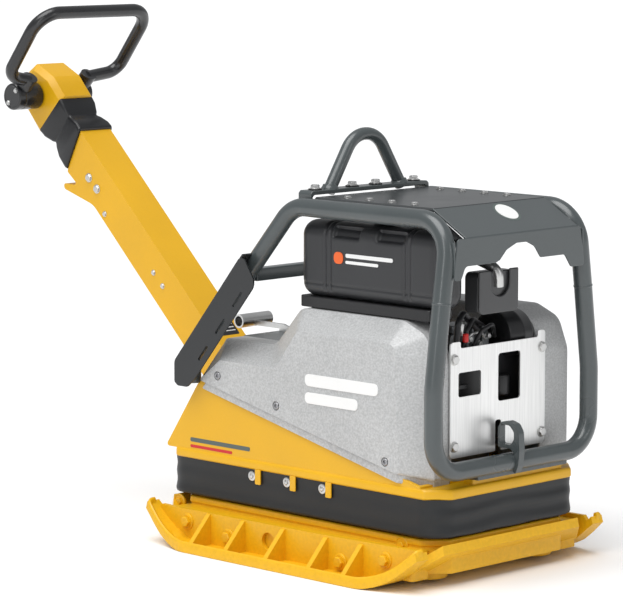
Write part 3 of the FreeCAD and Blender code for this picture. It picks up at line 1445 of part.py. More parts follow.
def fuel_cap():
    """Quarter-turn cap on the filler neck."""
    centre = ("neck_x", "tank_low_y + neck_in")
    disc = rod("cap_disc", "Z", "neck_radius + 5", ("tank_top + 12.3", "tank_top + 28"), centre)
    across = ("tank_low_y + neck_in - 6", "tank_low_y + neck_in + 6")
    grip = box("cap_grip", ("neck_x - 24", "neck_x + 24"), across, ("tank_top + 27", "tank_top + 38"))
    return keep(fuse("fuel_cap_whole", disc, grip), "fuel_cap")


def stop_lever():
    """Red stop lever on the crankcase's front, behind the window."""
    hub = rod("lever_hub", "X", "9", ("case_front + 0.3", "case_front + 18"), ("lever_y", "lever_z"))
    across = ("lever_y - 5", "lever_y + 5")
    lengthwise = ("case_front + 10", "case_front + 18")
    arm = box("lever_arm", lengthwise, across, ("lever_z", "lever_z + lever_reach"))
    return keep(fuse("stop_lever_whole", hub, arm), "stop_lever")


# ---- drawbar and handle ----

def on_drawbar(item):
    """Carry a piece from the drawbar's own frame to its place on the machine at rest."""
    turn = FreeCAD.Rotation(180, -value("drawbar_slope"), 0)
    frame = FreeCAD.Placement(Vec(value("pivot_x"), 0, value("pivot_z")), turn)
    item.Placement = frame.multiply(item.Placement)
    return item


def drawbar_bracket():
    """Two cheeks on the chassis that hold the drawbar's pin."""
    cheeks = []
    for low, high in (("-cheek_y - cheek_wall", "-cheek_y"), ("cheek_y", "cheek_y + cheek_wall")):
        body = new_body("cheek_body")
        outline = [
            ("pivot_x - 20", "pivot_z + 30"),
            ("pivot_x - 32", "pivot_z"),
            ("pivot_x - 8", "rim_top + 26"),
            ("rim_rear + 46", "rim_top + 30"),
            ("wedge_x - 1", "wedge_z - 1"),
            ("pivot_x + 30", "pivot_z + 33"),
        ]
        pad(body, sketch(body, "XZ_Plane", outline, offset=f"-({high})"), "cheek_wall")
        bore = rod("cheek_bore", "Y", "pin_radius", (f"{low} - 1", f"{high} + 1"), ("pivot_x", "pivot_z"))
        cheeks.append(cut("cheek", body, bore, made("chassis")))
    return keep(group("drawbar_bracket_group", cheeks), "drawbar_bracket")


def pivot_pin():
    """Pin pressed in the cheeks, with a head each side."""
    centre = ("pivot_x", "pivot_z")
    shank = rod("pivot_shank", "Y", "pin_radius", ("-cheek_y - cheek_wall", "cheek_y + cheek_wall"), centre)
    heads = [
        rod("pivot_head", "Y", "pin_radius + 7", span, centre)
        for span in (
            ("-cheek_y - cheek_wall - 6", "-cheek_y - cheek_wall"),
            ("cheek_y + cheek_wall", "cheek_y + cheek_wall + 6"),
        )
    ]
    return keep(fuse("pivot_pin_whole", shank, *heads), "pivot_pin")


def beam_profile(inset):
    """Side outline of the drawbar, with the transport hook on its underside."""
    depth = f"beam_half - {inset}"
    return [
        (f"-24 + {inset}", f"-({depth})"),
        ("hook_root", f"-({depth})"),
        (f"hook_tip - {inset}", f"-hook_deep + {inset} * 0.2"),
        (f"hook_tip + 7 - {inset}", f"-hook_deep + 9 + {inset} * 0.2"),
        (f"hook_notch + {inset} * 0.2", "-beam_half - 6"),
        ("beam_cut - 8", "-beam_half - 14"),
        ("beam_cut", "-beam_half"),
        ("beam_end", depth),
        (f"-24 + {inset}", depth),
        (f"-beam_half + {inset}", "24"),
        (f"-beam_half + {inset}", "-24"),
    ]


def beam_hollow():
    """Inside of the box beam, open at its upper end."""
    depth = "beam_half - beam_wall"
    return [
        ("-beam_half + beam_wall", f"-({depth})"),
        ("hook_root", f"-({depth})"),
        ("hook_tip", "-hook_deep - 20"),
        ("beam_end + 40", "-hook_deep - 20"),
        ("beam_end + 40", depth),
        ("-beam_half + beam_wall", depth),
    ]


def drawbar_beam():
    """Welded box beam with rounded lower cheeks and the hook cut in its side plates."""
    body = new_body("drawbar_body")
    pad(body, sketch(body, "XZ_Plane", beam_profile("0")), "beam_half * 2", middle=True)
    pocket(body, sketch(body, "XZ_Plane", beam_hollow()), "(beam_half - beam_wall) * 2", middle=True)
    reach = "beam_half + 6"
    bore = circle_sketch(body, "XZ_Plane", ("0", "0"), "pin_radius + pin_gap")
    pocket(body, bore, f"({reach}) * 2", middle=True)
    return keep(on_drawbar(body), "drawbar_beam")


BEAM_BOLTS = (
    ("688", "-12", 1),
    ("648", "-10", 1),
    ("585", "-34", 0.62),
    ("363", "-4", 0.62),
    ("318", "-3", 0.62),
)


def beam_bolts():
    """Bolt heads along the beam's sides."""
    heads = []
    for along, up, size in BEAM_BOLTS:
        for low, high in (("-beam_half - bolt_thick", "-beam_half"), ("beam_half", "beam_half + bolt_thick")):
            heads.append(prism("beam_bolt", "Y", f"bolt_head * {size}", (low, high), (along, up)))
    return keep(on_drawbar(group("beam_bolts_group", heads)), "beam_bolts")


def boot():
    """Rubber boot between the beam and the head."""
    body = new_body("boot_body")
    outline = [
        ("boot_low", "-boot_half"),
        ("boot_low_front", "boot_half"),
        ("boot_low_front + 22", "boot_half"),
        ("boot_waist + 10", "beam_half - 6"),
        ("boot_top", "beam_half + 6"),
        ("boot_top", "-beam_half - 14"),
        ("boot_waist", "-beam_half + 2"),
        ("boot_low + 46", "-boot_half - 2"),
    ]
    pad(body, sketch(body, "XZ_Plane", outline), "boot_half * 2", middle=True)
    room = [
        ("boot_low - 10", "-beam_half"),
        ("beam_cut", "-beam_half"),
        ("beam_end", "beam_half"),
        ("boot_low - 10", "beam_half"),
    ]
    pocket(body, sketch(body, "XZ_Plane", room), "beam_half * 2", middle=True)
    return keep(cut("boot_cut", on_drawbar(body), made("drawbar_beam")), "boot")


def side_edge_of_head(edge):
    """Whether an edge of the head lies in one of its side faces, clear of the boot."""
    return not runs_along(edge, Y_AXIS) and middle_of(edge).x > value("boot_top + 1")


def head_casting():
    """Head of the drawbar that holds the handle's shaft."""
    body = new_body("head_body")
    outline = [
        ("boot_top", "-72"),
        ("972", "-66"),
        ("1020", "-36"),
        ("1037", "8"),
        ("1029", "46"),
        ("962", "68"),
        ("boot_top", "64"),
    ]
    pad(body, sketch(body, "XZ_Plane", outline), "head_half * 2", middle=True)
    dress(body, "Chamfer", "head_chamfer", side_edge_of_head)
    bore = circle_sketch(body, "XZ_Plane", ("grip_pivot", "grip_pivot_up"), "grip_pin_radius + pin_gap")
    pocket(body, bore, "head_half * 3", middle=True)
    return keep(on_drawbar(body), "head_casting")


def handle_shaft():
    """Shaft through the head that carries both hubs."""
    span = ("-hub_short + 12", "hub_out - 20")
    shaft = rod("shaft_bar", "Y", "grip_pin_radius", span, ("grip_pivot", "grip_pivot_up"))
    return keep(on_drawbar(group("handle_shaft_group", [shaft])), "handle_shaft")


def handle_hubs():
    """Round hubs with a socket for the loop's tube ends; the one the operator sees first is longer."""
    hubs = []
    centre = ("grip_pivot", "grip_pivot_up")
    for near, far, socket_y in (("hub_in", "hub_out", "boss_y"), ("-hub_short", "-hub_in", "-boss_short")):
        drum = rod("hub_drum", "Y", "hub_radius", (near, far), centre)
        middle = ("grip_pivot + 5", socket_y)
        socket = rod("hub_socket", "Z", "boss_radius + 2", ("grip_pivot_up", "grip_low + 4"), middle)
        hole = rod("hub_hole", "Y", "grip_pin_radius + pin_gap", ("-hub_short + 12", "hub_out - 20"), centre)
        hubs.append(cut("hub", fuse("hub_whole", drum, socket), hole))
    placed = on_drawbar(group("handle_hubs_group", hubs))
    return keep(cut("handle_hubs_cut", placed, on_drawbar(loop_bar("hub_seat"))), "handle_hubs")


def loop_bar(name, wall=None):
    """The operator's bar, a tube where a wall is given and solid otherwise."""
    along, low, high = "grip_pivot + 16", "grip_low", "grip_high"
    corners = [
        ("grip_pivot + 5", "boss_y", f"{low} - 6"),
        (along, "grip_y", low),
        (f"{along} + grip_lean", "grip_y", high),
        (f"{along} + grip_lean", "-grip_short", high),
        (along, "-grip_short", low),
        ("grip_pivot + 5", "-boss_short", f"{low} - 6"),
    ]
    radii = ["grip_bend_low", "grip_bend_high", "grip_bend_high", "grip_bend_low"]
    return bent_bar(name, corners, radii, "grip_radius", wall)


def handle_loop():
    """Bent tube that the operator holds."""
    return keep(on_drawbar(loop_bar("handle_loop_whole", "3")), "handle_loop")


# ---- drawbar stop ----

def drawbar_stop():
    """Tube that the upright drawbar rests on, carried by a leg from the rear deck."""
    tube = rod("stop_tube", "Y", "stop_radius", ("stop_low_y", "stop_high_y"), ("stop_x", "stop_z"))
    through = ("stop_low_y - 1", "stop_high_y + 1")
    bore = rod("stop_bore", "Y", "stop_radius - 4", through, ("stop_x", "stop_z"))
    across = ("stop_low_y + 40", "stop_low_y + 48")
    arm = box("stop_arm", ("stop_x + 14", "rear_deck_rear + 40"), across, ("stop_z - 12", "stop_z"))
    leg = box("stop_leg", ("rear_deck_rear + 8", "rear_deck_rear + 40"), across, ("rear_deck_z", "stop_z"))
    return keep(fuse("drawbar_stop_whole", cut("stop_shell", tube, bore), arm, leg), "drawbar_stop")


# ---- the whole machine ----

def build_all():
    """Make every sub-part."""
    for maker in (base_plate, extension_plate):
        maker()
    keep(mirrored("extension_left", finished[-1]), "extension_plate_left")
    for maker in (extension_bolts, buffers, buffer_bolts, exciter_housing, exciter_covers, exciter_bearings):
        maker()
    for end, x in SHAFTS:
        exciter_shaft(end, x)
    gear("front", "shaft_x", 0)
    gear("rear", "-shaft_x", 180 / value("tooth_count"))
    for maker in (exciter_pulley, chassis, skirt, skirt_bolts, hood_right):
        maker()
    for maker in (hood_left, hood_bolts, front_panel, front_panel_bolts, front_hoop, side_tube_right):
        maker()
    keep(mirrored("side_tube_left", finished[-1]), "side_tube_left")
    for maker in (
        rear_guards, cross_brace, front_lug, tow_eye,
        top_cover, visor, lifting_bracket, lifting_eye, top_bolts,
        rear_deck, deck_caps, engine_block, fan_cowl, crankshaft, flywheel, clutch_pulley, v_belt, air_filter,
        silencer, fuel_tank, fuel_cap, stop_lever, drawbar_bracket, pivot_pin, drawbar_beam, beam_bolts, boot,
        head_casting, handle_shaft, handle_hubs, handle_loop, drawbar_stop,
    ):
        maker()


def check_and_write():
    """Stop on any failed object, then write each sub-part's STEP file."""
    doc.recompute()
    broken = [item.Name for item in doc.Objects if {"Invalid", "Error"} & set(item.State)]
    assert not broken, f"failed objects: {broken}"
    os.makedirs("parts", exist_ok=True)
    for item in finished:
        assert not item.Shape.isNull() and item.Shape.isValid(), f"bad shape: {item.Label}"
        item.Shape.exportStep(f"parts/{item.Label}.step")
        print(item.Label, len(item.Shape.Solids), round(item.Shape.Volume / 1000), "cm3")


fill_sheet()
build_all()
check_and_write()
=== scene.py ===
"""Plate compactor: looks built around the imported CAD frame. Sizes are millimetres in the machine's frame."""

import logging
import math
from dataclasses import dataclass, field
from enum import Enum

import bmesh
import bpy
import numpy as np
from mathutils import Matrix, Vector
from mathutils.geometry import tessellate_polygon


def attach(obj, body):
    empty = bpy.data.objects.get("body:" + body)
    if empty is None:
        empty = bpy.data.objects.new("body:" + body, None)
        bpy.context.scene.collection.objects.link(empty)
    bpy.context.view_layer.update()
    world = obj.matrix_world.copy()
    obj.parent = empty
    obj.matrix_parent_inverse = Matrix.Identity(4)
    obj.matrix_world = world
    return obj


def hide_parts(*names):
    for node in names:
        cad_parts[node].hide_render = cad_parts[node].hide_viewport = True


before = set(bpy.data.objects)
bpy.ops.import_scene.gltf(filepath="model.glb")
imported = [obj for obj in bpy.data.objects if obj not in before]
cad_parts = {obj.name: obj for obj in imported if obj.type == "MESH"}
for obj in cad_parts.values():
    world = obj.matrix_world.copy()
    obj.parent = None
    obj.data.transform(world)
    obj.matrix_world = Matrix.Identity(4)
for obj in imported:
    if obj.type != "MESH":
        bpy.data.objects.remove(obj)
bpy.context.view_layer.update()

Array = np.ndarray
MM = 0.001
LOG = logging.getLogger("plate_compactor")


# ---------------------------------------------------------------- surfaces

@dataclass
class Surface:
    """Points in millimetres and the faces between them."""

    points: Array
    faces: list[list[int]]

    def plus(self, *others: "Surface") -> "Surface":
        """This surface with others beside it in one mesh.

        Args:
            others: surfaces whose faces are renumbered after this one's.

        Returns:
            One surface that holds every shell.
        """
        points, faces = [self.points], [list(face) for face in self.faces]
        start = len(self.points)
        for other in others:
            points.append(other.points)
            faces += [[index + start for index in face] for face in other.faces]
            start += len(other.points)
        return Surface(np.concatenate(points), faces)

    def mirrored(self) -> "Surface":
        """The same surface on the machine's other side: y changes sign and faces turn round."""
        return Surface(self.points * np.array([1, -1, 1]), [face[::-1] for face in self.faces])


def unit(vectors: Array) -> Array:
    """Vectors divided by their lengths."""
    return vectors / np.linalg.norm(vectors, axis=-1, keepdims=True)


def arc_path(corners: Array, radii: Array, steps: int = 8, closed: bool = False) -> Array:
    """Line of straight runs whose corners are rounded by tangent arcs.

    At each corner the arc's centre lies on the bisector, at radius / cos(half the turn), and its points
    are centre + radius * direction, with the direction turned evenly between the two tangent points.

    Args:
        corners: (n, d) corner points in two or three dimensions.
        radii: one radius per corner; the ends of an open line ignore theirs.
        steps: points on each arc.
        closed: whether the last corner joins the first.

    Returns:
        (m, d) points along the line.
    """
    corners = np.asarray(corners, float)
    radii = np.broadcast_to(np.asarray(radii, float), (len(corners),))
    before = np.roll(corners, 1, axis=0)
    after = np.roll(corners, -1, axis=0)
    middle = slice(None) if closed else slice(1, -1)
    corner, radius = corners[middle], radii[middle, None]
    into, out = unit(before[middle] - corner), unit(after[middle] - corner)
    half = (np.pi - np.arccos(np.clip((into * out).sum(1), -1, 1)))[:, None] / 2
    entry = corner + into * radius * np.tan(half)
    centre = corner + unit(into + out) * radius / np.cos(half)
    first = unit(entry - centre)
    across = unit(corner - entry)
    share = np.linspace(0, 1, steps)[None, :, None]
    angle = 2 * half[:, None, :] * share
    arcs = centre[:, None] + radius[:, None] * (
        first[:, None] * np.cos(angle) + across[:, None] * np.sin(angle)
    )
    arcs = arcs.reshape(-1, corners.shape[1])
    return arcs if closed else np.concatenate([corners[:1], arcs, corners[-1:]])


def in_plane(loop: Array, plane: str, level: float | Array) -> Array:
    """Flat points carried into space.

    Args:
        loop: (n, 2) points.
        plane: the two axes that the points lie along, such as "xz".
        level: place along the third axis.

    Returns:
        (n, 3) points.
    """
    order = ["xyz".index(letter) for letter in plane]
    rest = 3 - sum(order)
    points = np.zeros((len(loop), 3))
    points[:, order] = loop
    points[:, rest] = level
    return points


def lofted(rings: Array, ends: bool = True, wrap: bool = False) -> Surface:
    """Skin over rings of equal length, with quads between neighbours.

    Args:
        rings: (rings, points, 3) array.
        ends: whether flat faces close the first and the last ring.
        wrap: whether the last ring joins the first instead.

    Returns:
        The closed skin.
    """
    count, size = rings.shape[:2]
    rows = np.arange(count if wrap else count - 1)[:, None]
    columns = np.arange(size)[None, :]
    following = (columns + 1) % size
    upper = (rows + 1) % count
    quads = np.stack(
        [rows * size + columns, rows * size + following, upper * size + following, upper * size + columns], -1
    )
    faces = quads.reshape(-1, 4).tolist()
    if ends and not wrap:
        faces += [list(range(size))[::-1], list(range((count - 1) * size, count * size))]
    return Surface(rings.reshape(-1, 3), faces)


def plate(loops: list[Array], low: float, high: float, plane: str) -> Surface:
    """Flat plate with holes: its outline and holes are carried from one level to another.

    Args:
        loops: (n, 2) outlines, the outer one first and the holes after it.
        low: level of one face along the third axis.
        high: level of the other face.
        plane: the two axes of the outlines.

    Returns:
        The closed plate.
    """
    flat = np.concatenate(loops)
    total = len(flat)
    caps = tessellate_polygon([[Vector((*point, 0)) for point in loop] for loop in loops])
    faces = [list(face)[::-1] for face in caps] + [[index + total for index in face] for face in caps]
    start = 0
    for loop in loops:
        here = np.arange(len(loop))
        there = (here + 1) % len(loop)
        sides = np.stack([here, there, there + total, here + total], -1) + start
        faces += sides.tolist()
        start += len(loop)
    if len(loops) == 1:
        faces = faces[2 * len(caps):] + [list(range(total))[::-1], list(range(total, 2 * total))]
    return Surface(np.concatenate([in_plane(flat, plane, low), in_plane(flat, plane, high)]), faces)


def ring_of(radius: float, steps: int = 48, centre: tuple[float, float] = (0, 0)) -> Array:
    """Circle as points: centre + radius * (cos, sin) of evenly spaced angles."""
    angle = np.linspace(0, 2 * np.pi, steps, endpoint=False)
    return np.stack([centre[0] + radius * np.cos(angle), centre[1] + radius * np.sin(angle)], -1)


def block_loop(x: tuple[float, float], y: tuple[float, float], radius: float = 0, steps: int = 6) -> Array:
    """Rectangle between two spans, its corners rounded where a radius is given."""
    corners = np.array([(x[0], y[0]), (x[1], y[0]), (x[1], y[1]), (x[0], y[1])], float)
    return arc_path(corners, np.full(4, radius), steps, closed=True) if radius else corners


def carried(path: Array, section: Array, reference: tuple[float, float, float], ends: bool = True) -> Surface:
    """A flat profile carried along a path.

    Each station's first direction is the reference with its part along the path taken out, and its second
    is the path's direction crossed with the first.

    Args:
        path: (stations, 3) points.
        section: (n, 2) profile, or (stations, n, 2) where it changes along the path.
        reference: a direction that the path never runs along.
        ends: whether the ends are closed.

    Returns:
        The closed skin.
    """
    along = unit(np.gradient(path, axis=0))
    first = np.asarray(reference, float) - along * (along @ np.asarray(reference, float))[:, None]
    first = unit(first)
    second = np.cross(along, first)
    section = np.broadcast_to(section, (len(path), *section.shape[-2:]))
    rings = path[:, None] + section[..., :1] * first[:, None] + section[..., 1:] * second[:, None]
    return lofted(rings, ends)


def turned(profile: Array, axis: str, centre: tuple[float, float], steps: int = 48) -> Surface:
    """A profile turned about an axis; a point of no radius becomes one pole.

    Args:
        profile: (n, 2) points of radius and place along the axis, from pole to pole.
        axis: the axis letter.
        centre: the other two coordinates of the axis, in x, y, z order.
        steps: divisions round the axis.

    Returns:
        The closed skin.
    """
    angle = np.linspace(0, 2 * np.pi, steps, endpoint=False)
    radius, along = np.asarray(profile, float).T
    inner = slice(1, -1)
    flat = np.stack([np.cos(angle), np.sin(angle)], -1)
    round_points = radius[inner, None, None] * flat[None] + np.asarray(centre, float)
    others = [letter for letter in "xyz" if letter != axis]
    rings = np.zeros((len(profile) - 2, steps, 3))
    rings[..., ["xyz".index(letter) for letter in others]] = round_points
    rings[..., "xyz".index(axis)] = along[inner, None]
    skin = lofted(rings, ends=False)
    poles = in_plane(np.array([centre, centre]), "".join(others), np.array([along[0], along[-1]]))
    base = len(skin.points)
    here = np.arange(steps)
    there = (here + 1) % steps
    last = (len(profile) - 3) * steps
    start_cap = np.stack([there, here, np.full(steps, base)], -1).tolist()
    end_cap = np.stack([here + last, there + last, np.full(steps, base + 1)], -1).tolist()
    return Surface(np.concatenate([skin.points, poles]), skin.faces + start_cap + end_cap)


def softened(radius: float, low: float, high: float, soft: float, steps: int = 4) -> Array:
    """Profile of a plain disc whose two edges are rounded by a small radius."""
    angle = np.linspace(0, np.pi / 2, steps)
    lower = np.stack([radius - soft + soft * np.sin(angle), low + soft - soft * np.cos(angle)], -1)
    upper = np.stack([radius - soft + soft * np.cos(angle), high - soft + soft * np.sin(angle)], -1)
    return np.concatenate([[(0, low)], lower, upper, [(0, high)]])


def hex_head(axis: str, centre: tuple[float, float], low: float, high: float, half_flats: float) -> Surface:
    """Hexagon bolt head on a round washer flange, with a slightly domed top.

    Args:
        axis: the bolt's axis letter.
        centre: the axis's other two coordinates.
        low: level of the seat.
        high: level of the top.
        half_flats: half the size across flats.

    Returns:
        Head and washer as two closed shells.
    """
    reach = half_flats / math.cos(math.pi / 6)
    rise = high - low
    washer = turned(softened(reach * 1.18, low, low + rise * 0.22, abs(rise) * 0.06), axis, centre, 24)
    loop = ring_of(1, 6)
    levels = np.array([(1, 0.2), (1, 0.82), (0.86, 1.0)])
    rings = []
    others = "".join(letter for letter in "xyz" if letter != axis)
    for share, height in levels:
        rings.append(in_plane(loop * reach * share + np.asarray(centre), others, low + rise * height))
    return washer.plus(lofted(np.stack(rings)))


# ---------------------------------------------------------------- finishes

class Grain(Enum):
    """How a finish breaks up the light."""

    PAINT = "powder coat with a faint orange peel"
    CAST = "fine speckled casting"
    BRUSHED = "lines drawn one way"
    RUBBER = "moulded rubber"
    PLASTIC = "moulded plastic"
    METAL = "plated or machined metal"


@dataclass(frozen=True)
class Finish:
    """One surface finish, made as a node material on Object coordinates (metres)."""

    name: str
    slot: str
    colour: tuple[float, float, float]
    roughness: float
    grain: Grain = Grain.PAINT
    metallic: float = 0.0
    coat: float = 0.0
    patch: float = 0.06
    bump: float = 0.12
    scale: float = 900.0
    stretch: tuple[float, float, float] = (1, 1, 1)

    def material(self) -> bpy.types.Material:
        """The finish's material, made once.

        Colour is the base colour times 1 - patch ... 1 + patch by slow and fast noise; roughness swings
        about its middle by the same slow noise; height is fine noise at the finish's scale.

        Returns:
            The material.
        """
        own_name = f"{self.name}_finish"
        found = bpy.data.materials.get(own_name)
        if found:
            return found
        made = bpy.data.materials.new(own_name)
        made.use_nodes = True
        tree = made.node_tree
        shader = tree.nodes["Principled BSDF"]
        shader.inputs["Metallic"].default_value = self.metallic
        shader.inputs["Coat Weight"].default_value = self.coat
        shader.inputs["Coat Roughness"].default_value = 0.18
        place = self.node(tree, "ShaderNodeTexCoord").outputs["Object"]
        slow = self.noise(tree, place, self.scale * 0.012, 3.0)
        fine_place = self.mapped(tree, place)
        fine = self.noise(tree, fine_place, self.scale, 2.0)
        speck = self.noise(tree, fine_place, self.scale * 0.45, 4.0)
        self.link_colour(tree, shader, slow, speck)
        self.link_range(tree, slow, shader.inputs["Roughness"], self.roughness * 0.88, self.roughness * 1.14)
        bump = self.node(tree, "ShaderNodeBump")
        bump.inputs["Strength"].default_value = self.bump
        bump.inputs["Distance"].default_value = 0.0006 if self.grain is Grain.CAST else 0.0003
        height = speck if self.grain is Grain.CAST else fine
        tree.links.new(height, bump.inputs["Height"])
        tree.links.new(bump.outputs["Normal"], shader.inputs["Normal"])
        return made

    @staticmethod
    def node(tree: bpy.types.NodeTree, kind: str) -> bpy.types.Node:
        """A new node of a kind."""
        return tree.nodes.new(kind)

    def mapped(self, tree: bpy.types.NodeTree, place: bpy.types.NodeSocket) -> bpy.types.NodeSocket:
        """The coordinates stretched the way the finish is drawn."""
        mapping = self.node(tree, "ShaderNodeMapping")
        mapping.inputs["Scale"].default_value = self.stretch
        tree.links.new(place, mapping.inputs["Vector"])
        return mapping.outputs["Vector"]

    def noise(
        self, tree: bpy.types.NodeTree, place: bpy.types.NodeSocket, scale: float, detail: float
    ) -> bpy.types.NodeSocket:
        """Noise at a scale per metre."""
        noise = self.node(tree, "ShaderNodeTexNoise")
        noise.inputs["Scale"].default_value = scale
        noise.inputs["Detail"].default_value = detail
        tree.links.new(place, noise.inputs["Vector"])
        return noise.outputs["Fac"]

    def link_range(
        self,
        tree: bpy.types.NodeTree,
        source: bpy.types.NodeSocket,
        target: bpy.types.NodeSocket,
        low: float,
        high: float,
    ) -> None:
        """Carry noise between 0.3 and 0.7 to a span of values."""
        span = self.node(tree, "ShaderNodeMapRange")
        for name, value in (("From Min", 0.3), ("From Max", 0.7), ("To Min", low), ("To Max", high)):
            span.inputs[name].default_value = value
        tree.links.new(source, span.inputs["Value"])
        tree.links.new(span.outputs["Result"], target)

    def link_colour(
        self,
        tree: bpy.types.NodeTree,
        shader: bpy.types.Node,
        slow: bpy.types.NodeSocket,
        speck: bpy.types.NodeSocket,
    ) -> None:
        """Mix a darker and a lighter shade by the slow noise and then by the speckle."""
        share = 0.75 if self.grain in (Grain.CAST, Grain.BRUSHED) else 0.25
        mixed = self.shades(tree, slow, self.patch * (1 - share), (*self.colour, 1))
        spread = self.patch * share
        mix = self.node(tree, "ShaderNodeMix")
        mix.data_type = "RGBA"
        mix.blend_type = "MULTIPLY"
        mix.inputs["Factor"].default_value = 1.0
        tree.links.new(mixed, mix.inputs["A"])
        ones = self.shades(tree, speck, spread, (1, 1, 1, 1))
        tree.links.new(ones, mix.inputs["B"])
        tree.links.new(mix.outputs["Result"], shader.inputs["Base Color"])

    def shades(
        self, tree: bpy.types.NodeTree, source: bpy.types.NodeSocket, spread: float, colour: tuple
    ) -> bpy.types.NodeSocket:
        """A ramp from colour * (1 - spread) to colour * (1 + spread)."""
        ramp = self.node(tree, "ShaderNodeValToRGB")
        ramp.color_ramp.elements[0].position = 0.32
        ramp.color_ramp.elements[1].position = 0.68
        for element, sign in zip(ramp.color_ramp.elements, (-1, 1)):
            element.color = (*[channel * (1 + sign * spread) for channel in colour[:3]], 1)
        tree.links.new(source, ramp.inputs["Fac"])
        return ramp.outputs["Color"]


YELLOW = Finish(
    "yellow_paint", "yellow_paint", (0.73, 0.395, 0.002), 0.42, coat=0.08, patch=0.05, bump=0.05, scale=420
)
YELLOW_CAST = Finish(
    "yellow_casting",
    "yellow_paint",
    (0.75, 0.41, 0.002),
    0.48,
    Grain.CAST,
    coat=0.06,
    patch=0.07,
    bump=0.16,
    scale=260,
)
FRAME_GREY = Finish(
    "frame_grey", "frame_paint", (0.056, 0.067, 0.069), 0.30, coat=0.5, patch=0.08, bump=0.06, scale=420
)
SILVER = Finish(
    "silver_casting",
    "silver_casting",
    (0.46, 0.465, 0.465),
    0.46,
    Grain.CAST,
    metallic=0.15,
    patch=0.20,
    bump=0.30,
    scale=520,
)
STAINLESS = Finish(
    "stainless",
    "stainless",
    (0.86, 0.86, 0.85),
    0.36,
    Grain.BRUSHED,
    metallic=0.85,
    patch=0.10,
    bump=0.08,
    scale=700,
    stretch=(1, 1, 0.02),
)
ZINC = Finish(
    "zinc", "zinc", (0.62, 0.62, 0.61), 0.32, Grain.METAL, metallic=1.0, patch=0.10, bump=0.05, scale=600
)
STEEL = Finish(
    "machined_steel",
    "dark_zinc",
    (0.36, 0.36, 0.37),
    0.34,
    Grain.BRUSHED,
    metallic=1.0,
    patch=0.10,
    bump=0.06,
    scale=600,
    stretch=(1, 0.05, 1),
)
IRON = Finish(
    "cast_iron",
    "cast_metal",
    (0.10, 0.10, 0.105),
    0.55,
    Grain.CAST,
    metallic=0.5,
    patch=0.25,
    bump=0.35,
    scale=300,
)
ALLOY = Finish(
    "engine_alloy",
    "engine_alloy",
    (0.30, 0.31, 0.32),
    0.45,
    Grain.CAST,
    metallic=0.8,
    patch=0.18,
    bump=0.30,
    scale=320,
)
RUBBER = Finish(
    "rubber_black",
    "rubber_black",
    (0.008, 0.009, 0.010),
    0.50,
    Grain.RUBBER,
    patch=0.18,
    bump=0.14,
    scale=260,
)
BOOT_RUBBER = Finish(
    "boot_rubber",
    "rubber_black",
    (0.010, 0.0105, 0.012),
    0.34,
    Grain.RUBBER,
    patch=0.15,
    bump=0.08,
    scale=320,
)
TANK = Finish(
    "tank_plastic",
    "tank_plastic",
    (0.026, 0.0268, 0.029),
    0.38,
    Grain.PLASTIC,
    patch=0.10,
    bump=0.16,
    scale=520,
)
BLACK_GLOSS = Finish(
    "black_plastic",
    "black_plastic",
    (0.010, 0.010, 0.011),
    0.30,
    Grain.PLASTIC,
    patch=0.15,
    bump=0.06,
    scale=420,
)
BLACK_PAINT = Finish(
    "black_paint", "black_paint", (0.012, 0.0125, 0.014), 0.28, coat=0.3, patch=0.12, bump=0.05, scale=420
)
COVER_GREY = Finish(
    "cover_grey", "frame_paint", (0.036, 0.040, 0.042), 0.36, coat=0.2, patch=0.10, bump=0.08, scale=420
)
# Frame paint darkened almost to black for the leg guards: painted shade that stands in for the shadow the
# guards sit in.
GUARD_SHADE_GREY = Finish(
    "guard_painted_shade_grey", "frame_paint", (0.012, 0.0135, 0.015), 0.40, coat=0.15, patch=0.10, bump=0.06, scale=420
)
SATIN_GREY = Finish(
    "satin_grey", "black_paint", (0.055, 0.056, 0.058), 0.34, coat=0.15, patch=0.12, bump=0.06, scale=420
)
HOSE = Finish(
    "hose_rubber", "rubber_black", (0.012, 0.012, 0.013), 0.38, Grain.RUBBER, patch=0.12, bump=0.08, scale=420
)
RED = Finish(
    "red_plastic", "red_plastic", (0.55, 0.012, 0.010), 0.32, Grain.PLASTIC, patch=0.08, bump=0.05, scale=420
)
WHITE_MARK = Finish(
    "white_mark", "silver_casting", (0.80, 0.80, 0.79), 0.42, patch=0.03, bump=0.03, scale=420
)
DARK_MARK = Finish("dark_mark", "frame_paint", (0.085, 0.11, 0.10), 0.4, patch=0.04, bump=0.03, scale=420)
ORANGE_MARK = Finish("orange_mark", "red_plastic", (0.80, 0.13, 0.02), 0.4, patch=0.04, bump=0.03, scale=420)


# ---------------------------------------------------------------- pieces

